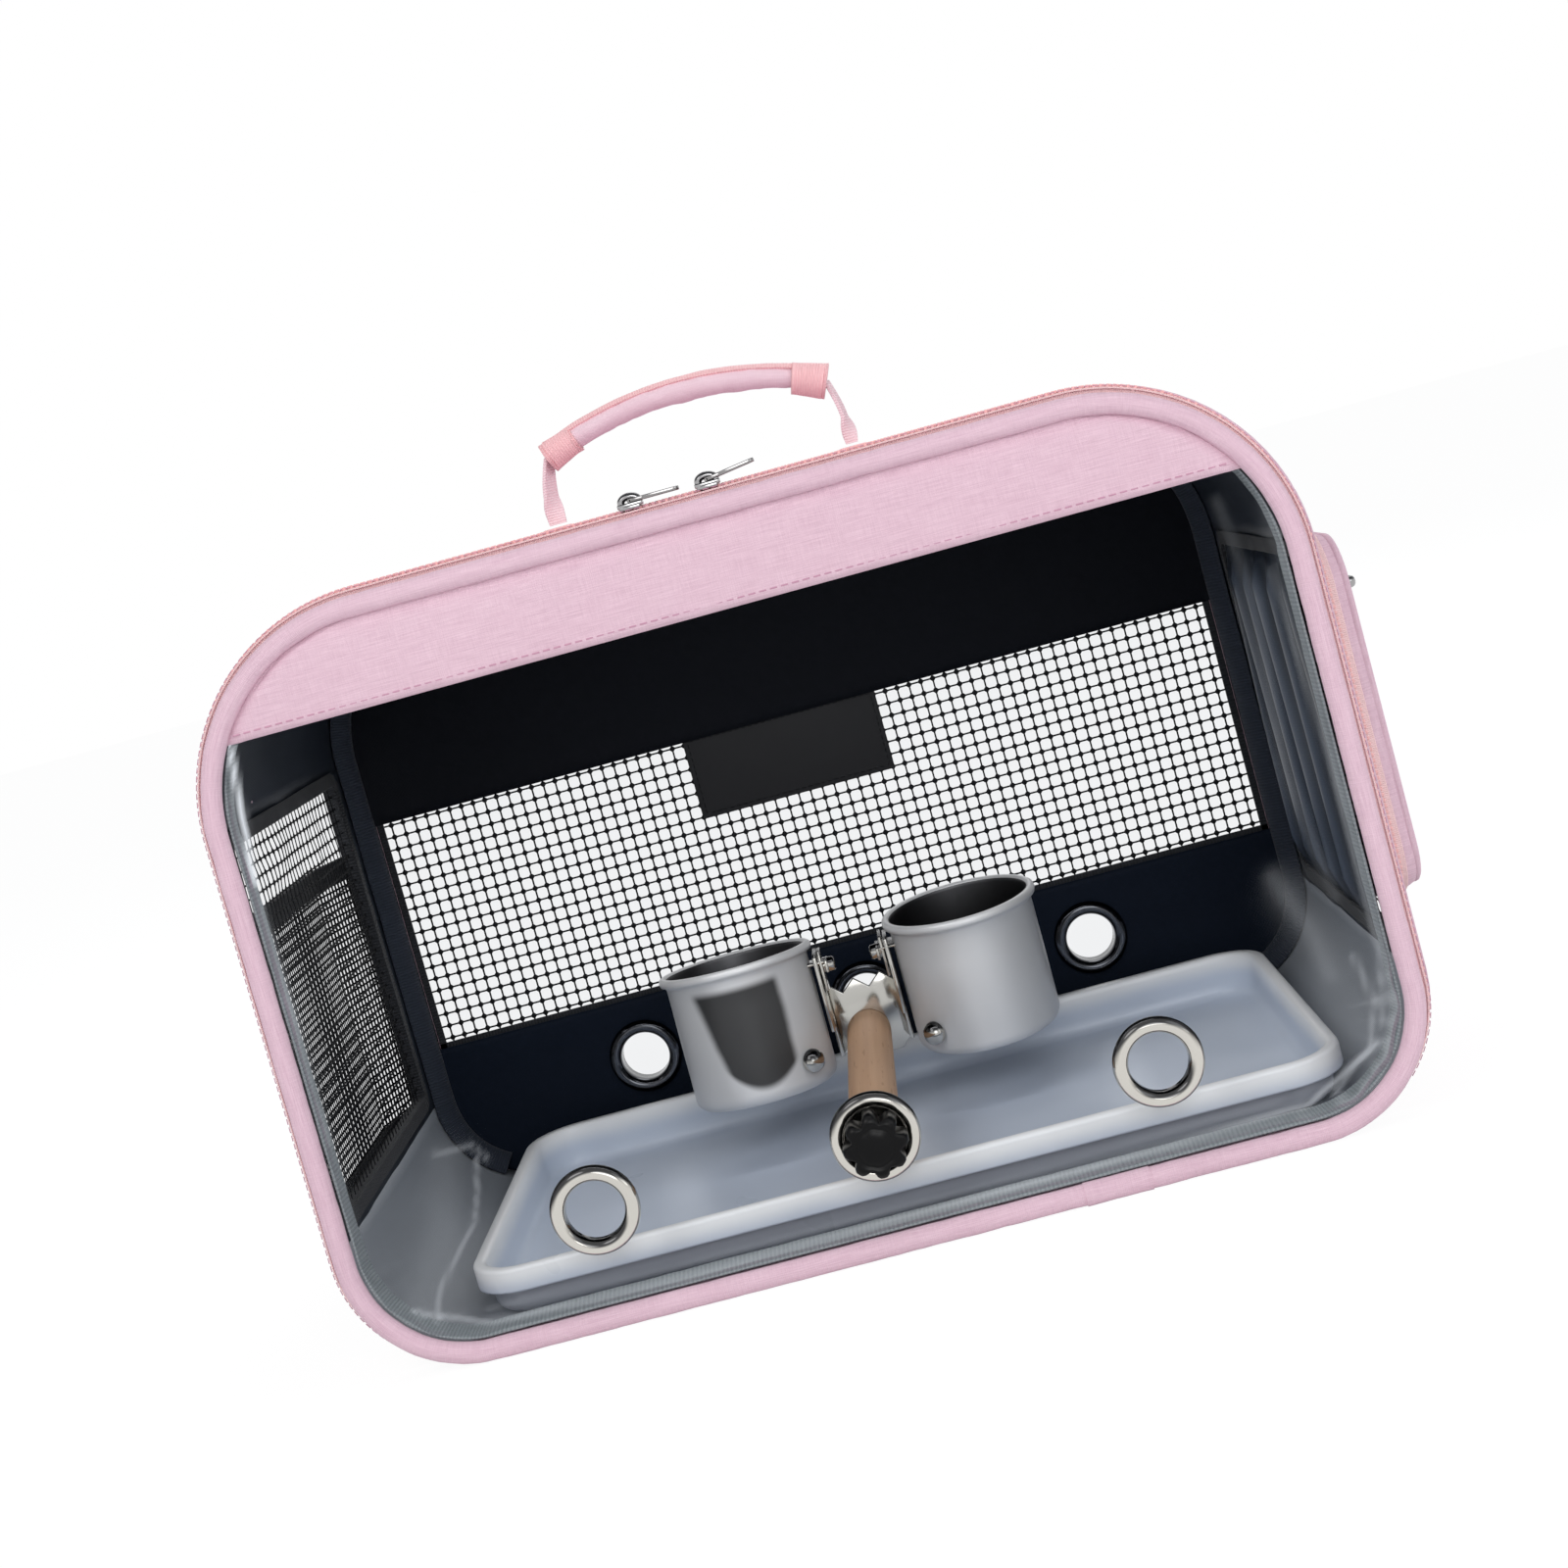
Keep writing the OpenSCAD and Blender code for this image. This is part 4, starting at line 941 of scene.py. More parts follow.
def side_skin(side, offset, y0, y1):
    """A side wall's skin with its window opening left out."""
    bm = bmesh.new()
    ys = [y0 + (-WINDOW_Y - y0) * k / 3 for k in range(3)]
    ys += [-WINDOW_Y + 2 * WINDOW_Y * k / 14 for k in range(15)]
    ys += [WINDOW_Y + (y1 - WINDOW_Y) * k / 4 for k in range(1, 5)]
    zs = [47.0, 51.0] + [55.0 + 145.0 * k / 14 for k in range(15)] + [202.5, 205.0]
    x = side * WALLS[0]
    path = [station((x, 0, z), (-side, 0, 0)) for z in (zs if side > 0 else zs[::-1])]
    sweep(bm, [(offset, y) for y in ys], path, closed=False)
    gone = [
        f for f in bm.faces
        if abs(f.calc_center_median().y) < WINDOW_Y and WINDOW_Z[0] < f.calc_center_median().z < WINDOW_Z[1]
    ]
    bmesh.ops.delete(bm, geom=gone, context="FACES")
    return bm


def slack(co):
    """How loose a wall is at a point: tight at its sewn edges."""
    return unit((co.y - WALL_FRONT) / 22) * unit((WALL_REAR - co.y) / 22)


def wall(name, part, node, seed):
    if part in ("left", "right"):
        bm = side_skin(1 if part == "right" else -1, 0.0, WALL_FRONT, WALL_REAR)
    else:
        bm = case_skin(part, 0.0, WALL_FRONT, WALL_REAR, rows=20)
    outward(bm, from_axis)
    waves(bm, {"top": 0.6, "low": 0.1}.get(part, 0.3), 0.035, seed, where=slack)
    return settle(name, bm, LINEN, "case", [node], closed=False, sharp=60, wall=3.4)


top_wall = wall("top_wall_cloth", "top", "top_panel", 3.0)
low_wall = wall("base_wall_cloth", "low", "bottom_panel", 4.0)
left_wall = wall("left_wall_cloth", "left", "left_panel", 5.0)
right_wall = wall("right_wall_cloth", "right", "right_panel", 6.0)


# the walls' cloth turned in under the piping at the back
turned_in = [
    (0.0, 106.1), (0.3, 107.3), (1.4, 108.6), (3.2, 109.4), (5.2, 109.8), (6.5, 110.0), (6.5, 108.9), (3.8, 108.3),
    (2.2, 107.4), (1.5, 106.1)
]
swept(
    "rear_seam_cloth", turned_in, case_path(WALLS, 4.0), LINEN, "case", "linen",
    wave=(0.15, 0.09, 33.0, None, lambda c: 1.0 if c.z > 3 else 0.0), loop=True,
)


def lined(co):
    return unit((co.y + 97) / 30) * unit((105.5 - co.y) / 25)


bm = case_skin("low", LINING_IN, WALL_FRONT, LINING_REAR, rows=18)
outward(bm, lambda p: -from_axis(p))
waves(bm, 0.35, 0.03, 7.0, where=lined)
floor_cloth = settle(
    "floor_lining_cloth", bm, GREY_LINING, "case", ["floor_lining"], closed=False, wall=0.5
)
bm = case_skin("top", LINING_IN, WALL_FRONT, LINING_REAR, rows=18)
for side in (-1, 1):
    pour(bm, side_skin(side, LINING_IN, WALL_FRONT, LINING_REAR))
bmesh.ops.remove_doubles(bm, verts=bm.verts, dist=0.05)
bmesh.ops.recalc_face_normals(bm, faces=bm.faces)
outward(bm, lambda p: -from_axis(p))
waves(bm, 0.8, 0.045, 8.0, where=lined)
wall_cloth = settle(
    "wall_lining_cloth", bm, WALL_LINING, "case", ["wall_lining"], closed=False, wall=0.5
)

# seam tape over the corner between the walls and the back, and folded tape round each window
roll = [
    (4.9, 96.8), (6.4, 97.0), (9.4, 98.9), (11.6, 101.4), (12.4, 104.0), (12.3, 105.3), (11.4, 105.3), (10.2, 102.6),
    (8.0, 100.3), (5.2, 98.2)
]
swept(
    "corner_seam_tape", roll, case_path(WALLS, 4.0, 62.0), CORNER_TAPE, "case", "lining_black",
    wave=(0.3, 0.06, 31.0), caps=True,
)
fold = [
    (-4.6, 2.75), (0.4, 2.75), (0.9, 2.3), (0.9, -2.7), (0.4, -3.1), (-5.2, -3.1), (-5.2, -2.6), (0.3, -2.5),
    (0.3, 2.1), (-4.6, 2.25),
]
for side, name in ((-1, "left"), (1, "right")):
    round_window = box_path(WINDOW_W, WINDOW_H, 3.0, (side * 201.9, 0, WINDOW_MID), (0, side, 0), (0, 0, 1), 6.0)
    swept(
        f"{name}_window_tape", fold, round_window, TRIM, "case", "black_trim",
        wave=(0.15, 0.08, 32.0), loop=True,
    )


def facing_front(p):
    return Vector((0, -1, 0))


def facing_back(p):
    return Vector((0, 1, 0))


# ---------------------------------------------------------------- back
holes = [(x, EYELET_Z) for x in EYELET_X]


def clear_of_holes(co):
    """0 by the eyelets, so that the cloth lies flat under them."""
    return 0.0 if min(math.dist((co.x, co.z), h) for h in holes) < 24 else 1.0


bm = bmesh.new()
face_panel(bm, BACK_CLOTH_Y, INSET, BACK_LOW, 3.2, 120)
punch(bm, holes, HOLE_R, 2.4)
outward(bm, facing_back)
waves(bm, 0.4, 0.03, 9.0, (0, 1, 0), clear_of_holes)
back_low = settle("back_cloth_lower", bm, LINEN, "case", ["back_panel_lower"], closed=False, wall=2.8)
bm = bmesh.new()
face_panel(bm, BACK_CLOTH_Y, BACK_HIGH, PIPING[1] - INSET, 4.0, 90)
outward(bm, facing_back)
waves(bm, 0.5, 0.03, 10.0, (0, 1, 0))
back_high = settle("back_cloth_upper", bm, LINEN, "case", ["back_panel_upper"], closed=False, wall=2.8)
bm = bmesh.new()
face_panel(bm, BACK_LINING_Y, 4.6, BACK_LOW, 3.2, 124, BACK_LINING_IN, WALLS)
punch(bm, holes, HOLE_R, 2.4)
outward(bm, facing_front)
back_dark_low = settle(
    "back_lining_lower_cloth", bm, NAVY_LINING, "case", ["back_lining_lower"], closed=False, wall=0.7
)
bm = bmesh.new()
face_panel(bm, BACK_LINING_Y, BACK_LOW, WALLS[1] - BACK_LINING_IN, 3.5, 100, BACK_LINING_IN, WALLS)
gone = [f for f in bm.faces if abs(f.calc_center_median().x) < 190.5 and f.calc_center_median().z < 176.5]
bmesh.ops.delete(bm, geom=gone, context="FACES")
outward(bm, facing_front)
back_dark_high = settle(
    "back_lining_upper_cloth", bm, BACK_LINING, "case", ["back_lining_upper"], closed=False, wall=0.7
)

bm = bmesh.new()
net(bm, 381.6, 111.0, 5.43, 1.0, move(0, 108.3, 123.5) @ turn("X", 90))
back_net = settle("back_net", bm, NET, "case", ["back_mesh"], closed=False, wall=0.5, sharp=60)


def loose_net(co):
    """How slack a window's net is: only over the pocket, and tight at its tape."""
    return min(1.0, (84.0 - abs(co.y)) / 22) * unit((200.0 - co.z) / 12) * unit((co.z - 158.0) / 12)


for side, node in ((-1, "left_mesh"), (1, "right_mesh")):
    bm = bmesh.new()
    net(bm, WINDOW_W, WINDOW_H, 5.4, 0.95, move(side * 201.2, 0, WINDOW_MID) @ turn("Z", 90) @ turn("X", 90))
    waves(bm, 1.7, 0.035, 23.0, (1, 0, 0), loose_net)
    side_net = settle(node.replace("mesh", "net"), bm, NET, "case", [node], closed=False, wall=0.3, sharp=60)

bm = bmesh.new()
for a, b, across in (
    ((-191.2, 176.4), (-191.2, 69.6), (1, 0, 0)), ((191.2, 69.6), (191.2, 176.4), (-1, 0, 0)),
    ((-191.2, 69.4), (191.2, 69.4), (0, 0, 1))
):
    edge = [station((a[0] + (b[0] - a[0]) * k / 40, 106.6, a[1] + (b[1] - a[1]) * k / 40), across) for k in range(41)]
    sweep(bm, strip(-0.2, 2.9, -0.4, 0.5, 0.2, 1), edge, caps=True)
settle("back_net_tape", bm, TRIM, "case")

# ---------------------------------------------------------------- bare patch
bm = bmesh.new()
block(bm, (88.0, 1.5, 37.0), move(-5.0, 106.8, 158.1), 0.5, 3)
settle("rear_patch_bare", bm, PATCH, "case", ["rear_patch"])
patch_edge = box_path(84.0, 33.0, 1.5, (-5.0, 106.0, 158.1), (1, 0, 0), (0, 0, 1), 3.0)
stitched("rear_patch_stitches", patch_edge, (0, 0), (2.0, 1.0, 0.45), BLACK_THREAD, "case")


# ---------------------------------------------------------------- front: band, film, binding
def tucked(co):
    """How far a point of the front cloth is from the piping, 0 at it and 1 inside."""
    edge = half_at(co.z) - abs(co.x)
    return unit(min(edge, PIPING[1] - INSET - co.z) / 5)


bm = bmesh.new()
face_panel(bm, -112.2, 237.0, PIPING[1] - 6.6, 3.0, 130, 6.6)
outward(bm, facing_front)
for v in bm.verts:
    k = tucked(v.co)
    lift = math.sin(unit((v.co.z - 237) / 31) * math.pi) * 0.8
    v.co.y += (1 - k) ** 2 * 2.2 - lift * k
waves(bm, 0.3, 0.04, 11.0, (0, -1, 0), tucked)
band = settle("front_band_cloth", bm, LINEN, "front_panel", ["front_band"], closed=False, wall=1.1)
hem = [station((-180.0 + 360.0 * k / 60, -112.4, 239.8), (0, 1, 0), (0, 0, 1)) for k in range(61)]
stitched("front_band_stitches", hem, (0, 0), (2.6, 1.3, 0.6), THREAD, "front_panel")

bm = bmesh.new()
face_panel(bm, -110.5, INSET, 241.0, 1.9, 200)
punch(bm, holes, HOLE_R, 1.35)
outward(bm, facing_front)


def free_film(co):
    near = min(math.dist((co.x, co.z), h) for h in holes)
    return unit((near - 17) / 14) * unit((236 - co.z) / 20)


for v in bm.verts:
    edge = min(half_at(v.co.z) - abs(v.co.x), v.co.z - INSET)
    roll = max(0.0, 1 - edge / 13.0)
    v.co.y += (1.5 * roll ** 2 - 0.5 * math.sin(math.pi * min(1.0, edge / 26.0))) * free_film(v.co)
    # the film puckers where it is sewn round the lower corners
    for s in (-1, 1):
        d = Vector((v.co.x - s * 152.0, 0, v.co.z - CORNER_LOW))
        if d.x * s > -14 and d.z < 14 and d.length > 8:
            a = math.atan2(d.z, d.x * s)
            v.co.y += (
                0.55 * math.sin(a * 13.0 + s) * min(1.0, (d.length - 8) / 20) * unit((d.x * s + 14) / 14)
                * unit((14 - d.z) / 14)
            )
waves(bm, 0.7, 0.016, 12.0, (0, 1, 0), lambda c: free_film(c) * tucked(c))

# painted highlights on the film, as where it is folded over and catches the light: lines on it, how wide and how
# strong
FOLD_HIGHLIGHTS = [
    ([(-181.5, 241), (-183.6, 223), (-185.2, 206), (-187.6, 188)], 1.1, 0.85),
    ([(-187.6, 188), (-188.4, 150), (-188.6, 90)], 1.1, 0.1),
    ([(-139, 72), (-142, 60), (-146, 50), (-153.5, 42), (-165, 29.5), (-168.7, 18)], 0.8, 0.17),
    ([(-153, 78), (-146.9, 77), (-139.5, 77.6), (-135.2, 71)], 1.1, 0.12),
    ([(-150, 74), (-158, 50), (-172, 28)], 7.0, 0.04),
    ([(-176, 24), (-150, 13.4), (-115, 11.8), (-65, 11.6), (0, 12.2), (101, 13.4), (150, 15), (178, 30)], 1.1, 0.26),
    ([(-150, 18.4), (-65, 16.4), (40, 16.8), (140, 19)], 1.1, 0.06),
    ([(184, 200), (187, 130), (187.5, 64), (182, 36)], 1.0, 0.12),
    ([(172, 228), (176, 190), (171, 130), (177, 84)], 2.0, 0.04),
    ([(158, 96), (166, 74), (168, 58)], 3.5, 0.06),
    ([(178, 62), (181, 45), (176, 30), (160, 17)], 1.0, 0.14),
    ([(163, 88), (172, 60), (174, 40)], 9.0, 0.04),
]


def from_line(x, z, points):
    best = 1e9
    for (x0, z0), (x1, z1) in zip(points, points[1:]):
        dx, dz = x1 - x0, z1 - z0
        t = unit(((x - x0) * dx + (z - z0) * dz) / (dx * dx + dz * dz))
        best = min(best, math.hypot(x - x0 - t * dx, z - z0 - t * dz))
    return best


crease = bm.verts.layers.float.new("crease")
for v in bm.verts:
    v[crease] = sum(k * math.exp(-((from_line(v.co.x, v.co.z, line) / w) ** 2)) for line, w, k in FOLD_HIGHLIGHTS)
film = settle("window_film_clear", bm, FILM, "front_panel", ["front_window"], closed=False)

bm = bmesh.new()
sweep(bm, strip(INSET, INSET + 0.9, -109.8, -101.9, 0.3, 4), case_path(PIPING, 3.0), loop=True)
for v in bm.verts:
    # the tape leans into the case, most along the base
    depth = (v.co.y + 109.8) / 7.9
    low = unit((60 - v.co.z) / 40)
    out = Vector((v.co.x - max(-127.5, min(127.5, v.co.x)), 0, v.co.z - max(CORNER_LOW, min(205.0, v.co.z))))
    if out.length > 0.01:
        v.co -= out.normalized() * depth * (0.9 + 1.6 * low if v.co.z < 205 else 0.4)
waves(bm, 0.2, 0.1, 13.0)
binding = settle("front_seam_binding", bm, BINDING, "front_panel", ["front_binding"])

# ---------------------------------------------------------------- main zip
zip_path = case_path(ZIP, 3.0, ZIP_TAIL)
profile = [
    (0.7, -107.4), (0.5, -107.1), (0.5, -104.0), (0.7, -103.8), (1.1, -103.8), (1.1, -105.2), (6.4, -105.25),
    (6.4, -106.3), (1.4, -106.35), (1.1, -107.4)
]
swept("front_tape_cloth", profile, zip_path, ZIP_TAPE, "front_panel", "zip_tape", ["front_zip_tape"], caps=True)
profile = strip(0.0, 1.1, -100.69, WALL_FRONT, 0.25)
swept("body_tape_cloth", profile, zip_path, ZIP_TAPE, "case", "zip_tape", ["body_zip_tape"], caps=True)


def teeth(name, y, body, node, between):
    """A row of moulded teeth. The second row's stand between the first's."""
    bm, places = bmesh.new(), spaced(zip_path, 2.4)
    if between:
        places = [a.lerp(b, 0.5) for a, b in zip(places, places[1:])]
    studs(bm, (2.0, 1.5, 1.3), 0.3, [s @ move(0.35, y, 0) for s in places])
    return settle(name, bm, ZIP_TEETH, body, [node])


teeth("front_teeth_row", -103.1, "front_panel", "front_zip_teeth", False)
teeth("body_teeth_row", -101.4, "case", "body_zip_teeth", True)
TAPE_STITCH = (2.2, 0.9, 0.4)
stitched("body_tape_stitches", zip_path, (-0.1, -97.9), TAPE_STITCH, THREAD, "case")
stitched("front_tape_stitches", zip_path, (-0.05, -106.4), TAPE_STITCH, THREAD, "front_panel")
swept(
    "hinge_strip_cloth", strip(0.0, 1.1, -106.3, WALL_FRONT, 0.3, 2),
    [station((-152.0 + 304.0 * k / 40, 0, 0), (0, 0, 1)) for k in range(41)], LINEN, "case", "linen",
    ["hinge_strip"], wave=(0.1, 0.05, 14.0, (0, 0, 1), lambda c: 1.0 if c.z > 0.5 else 0.0), caps=True,
)


# ---------------------------------------------------------------- eyelets
def eyelet(name, x, y0, y1, body, node, finish):
    """A rolled ring in front, a barrel through the cloth and a flat washer behind."""
    r0, bead = EYELET_BORE, EYELET_RING
    back = y1 + 0.2 + 1.2
    reach = back - (y0 - 0.2)
    rr = bead / 2
    outline = [(r0 + 0.12, 0.0), (r0, 0.15), (r0, reach)]
    outline += [
        (r0 + rr - rr * math.cos(a), reach + rr * math.sin(a)) for a in (math.pi * k / 12 for k in range(1, 12))
    ]
    outline += [(r0 + bead, reach), (r0 + bead - 0.3, reach - 0.15), (r0 + 0.85, reach - 0.15), (r0 + 0.85, 1.2)]
    outline += [
        (r0 + bead - 0.7, 1.2), (r0 + bead - 0.45, 1.0), (r0 + bead - 0.45, 0.2), (r0 + bead - 0.7, 0.0),
        (r0 + 0.12, 0.0)
    ]
    bm = bmesh.new()
    lathe(bm, outline, move(x, back, EYELET_Z) @ turn("X", 90), 96)
    return settle(name, bm, finish, body, [node], sharp=50)


# the rear eyelets take the dark copy of the chrome, a painted reflection of the dark inside of the case
for x, side in zip(EYELET_X, ("left", "centre", "right")):
    eyelet(f"eyelet_front_{side}", x, -110.9, -110.1, "front_panel", f"front_eyelet_{side}", CHROME)
    eyelet(f"eyelet_rear_{side}", x, 105.5, 112.0, "case", f"rear_eyelet_{side}", CHROME_PAINTED_REFLECTION)


# ---------------------------------------------------------------- perch and knob
def along_perch(y):
    """Third axis towards the front, from depth y."""
    return move(0, y, EYELET_Z) @ turn("X", 90)


washer = [(3.1, 0), (13.7, 0), (14, 0.3), (14, 1.2), (13.7, 1.5), (3.1, 1.5), (3.1, 0)]
turned("perch_washer_steel", washer, along_perch(-107.0), 64, CHROME, "chrome_trim", "perch_washer")
thread_steps = [(3.0 - 0.28 * (k % 2), 26.0 + 19.5 * k / 40) for k in range(41)]
bolt = [(0, 0), (2.6, 0), (3, 0.4), (3, 26.0)] + thread_steps + [(2.6, 46.2), (0, 46.2)]
turned("perch_bolt_steel", bolt, along_perch(-76.9), 32, BOLT_STEEL, "chrome_trim", "perch_bolt")
dowel = [
    (0, 1), (2.1, 1), (2.1, 0), (8.6, 0), (9.25, 0.7), (9.25, 20), (9.2, 60), (9.28, 100), (9.25, 148.3),
    (8.6, 149), (3.1, 149), (3.1, 147), (0, 147),
]
turned("perch_dowel_beech", dowel, along_perch(42.1), 64, WOOD, "beech", "perch_dowel")


def star_outline(count, r, dip, steps):
    """Points round a star grip: full over the lobes, scooped between them."""
    made = []
    for k in range(count * steps):
        a = 2 * math.pi * k / (count * steps)
        hollow = 0.5 - 0.5 * math.cos(a * count)
        made.append((r - dip * hollow ** 2.0, a))
    return made


bm = bmesh.new()
levels = [
    (0.0, 0.88, 1.0), (0.5, 0.96, 1.0), (1.2, 1.0, 1.0), (8.2, 1.0, 1.0), (9.8, 0.975, 0.9), (10.9, 0.91, 0.7),
    (11.5, 0.8, 0.45), (11.6, 0.68, 0.15)
]
ring_edges = None
for h, k, lobes in levels:
    ring = [
        bm.verts.new(((11.8 - (11.8 - r) * lobes) * k * math.cos(a), (11.8 - (11.8 - r) * lobes) * k * math.sin(a), h))
        for r, a in star_outline(8, 11.8, 3.4, 8)
    ]
    edges = [bm.edges.new(p) for p in zip(ring, ring[1:] + ring[:1])]
    if ring_edges:
        bmesh.ops.bridge_loops(bm, edges=ring_edges + edges)
    else:
        first = edges
    ring_edges = edges
close_over(
    bm, ring_edges, (0, 0, 11.6),
    [
        (0.92, (0, 0, -0.6)), (0.84, (0, 0, -0.7)), (0.76, (0, 0, -0.3)), (0.62, (0, 0, 0.1)), (0.42, (0, 0, 0.32)),
        (0.2, (0, 0, 0.4))
    ]
)
bmesh.ops.holes_fill(bm, edges=first)
bmesh.ops.transform(bm, matrix=along_perch(-114.3), verts=bm.verts)
settle("star_knob_moulded", bm, KNOB, "knob", ["star_knob"], sharp=60)


# ---------------------------------------------------------------- bracket and cups
PLATE_Y, PLATE_T = 42.2, 1.6
FLANGE_TOP = 84.0
BRACKET_X = 2.0          # the bracket's middle, and how far its flanges stand from it
FLANGE_OUT = 15.0
bm = bmesh.new()
x0, x1, z0, z1 = -12.2, 16.2, 33.0, 67.0
top = [(x0 + k * (x1 - x0) / 5, z1 - (0 if k % 2 == 0 else 5)) for k in range(6)]
shape = [(x1, z0 + 4), (x1 - 4, z0), (x0 + 4, z0), (x0, z0 + 4)] + top
face = bm.faces.new([bm.verts.new((x, PLATE_Y, z)) for x, z in shape])
thicken(bm, [face], (0, PLATE_T, 0))
for side in (-1, 1):
    x = BRACKET_X + side * FLANGE_OUT
    profile = [
        (PLATE_Y + PLATE_T, 37.0), (PLATE_Y + PLATE_T, 65.0), (PLATE_Y - 2.2, 68.5), (PLATE_Y - 2.2, 84.0),
        (PLATE_Y - 21.5, 84.0), (PLATE_Y - 21.5, 52.0), (PLATE_Y - 5.5, 52.0), (PLATE_Y - 5.5, 37.0),
    ]
    face = bm.faces.new([bm.verts.new((x - PLATE_T / 2, y, z)) for y, z in profile])
    thicken(bm, [face], (PLATE_T, 0, 0))
bmesh.ops.bevel(bm, geom=list(bm.edges), offset=0.35, segments=2, affect="EDGES", profile=0.5, material=-1)
settle("cup_bracket_steel", bm, CHROME, "front_panel", ["cup_bracket"], sharp=50)
screw = [
    (0, 0), (1.9, 0), (2, 0.2), (2, 20.0), (4.2, 20.0), (4.5, 20.4), (4.5, 21.4), (4.0, 22.1), (2.2, 22.5),
    (1.4, 22.5), (1.2, 21.6), (0, 21.6),
]
into_perch = move(0, 24.1, EYELET_Z) @ turn("X", -90)
turned("bracket_screw_steel", screw, into_perch, 40, CHROME, "chrome_trim", "bracket_screw")

STRAP_Y = PLATE_Y - 21.5 / 2 - 1
CUP_X = 0.8 + 0.6 + 1.2 + 30.0 + 0.1
STRAP_R = 30.8           # the slanted strap lies this far from a cup's axis
RIVET_TURN = 224         # degrees round the cup to its ball rivet


def leaning(side, degrees):
    return move(BRACKET_X + side * FLANGE_OUT, STRAP_Y, FLANGE_TOP) @ turn("X", -degrees)


def cup(side, lean, body, node):
    """A drawn steel cup with a rolled rim and a round foot."""
    inside, out_r, high = 29.0, 30.0, 56.0
    outline = [(0, 0), (24.0, 0), (25.0, 0.1)]
    outline += [(25 + 5 * math.sin(a), 5 - 5 * math.cos(a)) for a in (math.pi / 2 * k / 8 for k in range(1, 9))]
    outline += [(out_r, 20), (out_r, 40), (out_r, high - 4.4), (out_r + 0.35, high - 3.4)]
    outline += [
        (out_r + 0.9, high - 2.6), (out_r + 2.1, high - 2.3), (out_r + 2.5, high - 1.2), (out_r + 2.2, high + 0.2),
        (out_r + 1.2, high + 0.95)
    ]
    outline += [(out_r, high + 0.9), (inside + 0.3, high + 0.1), (inside, high - 1.2), (inside, 40), (inside, 20)]
    outline += [(25 + 4 * math.cos(a), 5 - 4 * math.sin(a)) for a in (math.pi / 2 * k / 8 for k in range(0, 9))]
    outline += [(18, 1.0), (0, 1.0)]
    bm = bmesh.new()
    lathe(bm, outline, Matrix.Identity(4), 96)
    bmesh.ops.recalc_face_normals(bm, faces=bm.faces)
    # the inner faces take the darker steel: painted shade inside the cup
    for f in bm.faces:
        c = f.calc_center_median()
        far = Vector((c.x, c.y, 0))
        inner = far.length < 29.2 and c.z > 0.6 and (far.dot(f.normal) < 0 or f.normal.z > 0.5)
        f.material_index = 1 if inner else 0
    place = leaning(side, lean) @ move(side * CUP_X, 0, 89.0 - FLANGE_TOP - high)
    bmesh.ops.transform(bm, matrix=place, verts=bm.verts)
    made = settle(node + "_steel", bm, CUP_STEEL_LEFT if side < 0 else CUP_STEEL, body, [node], sharp=60)
    made.data.materials.append(CUP_INSIDE_SHADE)
    return made


def hanger(side, lean, body, node):
    """The strap that hooks over a flange, its pin, and the slanted strap with a ball rivet."""
    bm = bmesh.new()
    x = 1.4 + 0.6
    block(bm, (1.2, 13.0, 45.0), move(x, 0, -21.5), 0.35)
    block(bm, (2 * x + 1.2, 13.0, 1.2), move(0, 0, 1.6), 0.35)
    block(bm, (1.2, 13.0, 17.0), move(-x, 0, -7.5), 0.35)
    lathe(
        bm, [(0, 0), (3.0, 0), (3.0, 4.2), (2.4, 4.9), (0, 5.0)],
        move(-x - 0.5, 0, -6) @ turn("Y", -90), 24,
    )
    # the slanted strap follows the cup down to the rivet
    path = []
    for k in range(13):
        a = math.radians(162 + 62 * k / 12)
        p = Vector((CUP_X + STRAP_R * math.cos(a), STRAP_R * math.sin(a), -18 - 22 * k / 12))
        path.append(station(p, (-math.cos(a), -math.sin(a), 0), (0.35 * math.sin(a), -0.35 * math.cos(a), 0.94)))
    sweep(bm, strip(-0.6, 0.5, -3.6, 3.6, 0.3), path, caps=True)
    a = math.radians(RIVET_TURN)
    lathe(
        bm, [(0, 4.7), (2.0, 4.4), (3.8, 3.1), (4.7, 1.3), (4.9, 0), (4.6, -0.8), (0, -0.8)],
        move(CUP_X + 31.2 * math.cos(a), 31.2 * math.sin(a), -39.5)
        @ turn("Z", RIVET_TURN) @ turn("Y", 90), 28,
    )
    if side < 0:
        bmesh.ops.scale(bm, vec=(-1, 1, 1), verts=bm.verts)
    bmesh.ops.transform(bm, matrix=leaning(side, lean), verts=bm.verts)
    return settle(node + "_steel", bm, CHROME, body, [node], sharp=50)


cup(-1, 5.0, "cup_left_set", "cup_left")
hanger(-1, 5.0, "cup_left_set", "cup_hanger_left")
cup(1, -3.0, "cup_right_set", "cup_right")
hanger(1, -3.0, "cup_right_set", "cup_hanger_right")

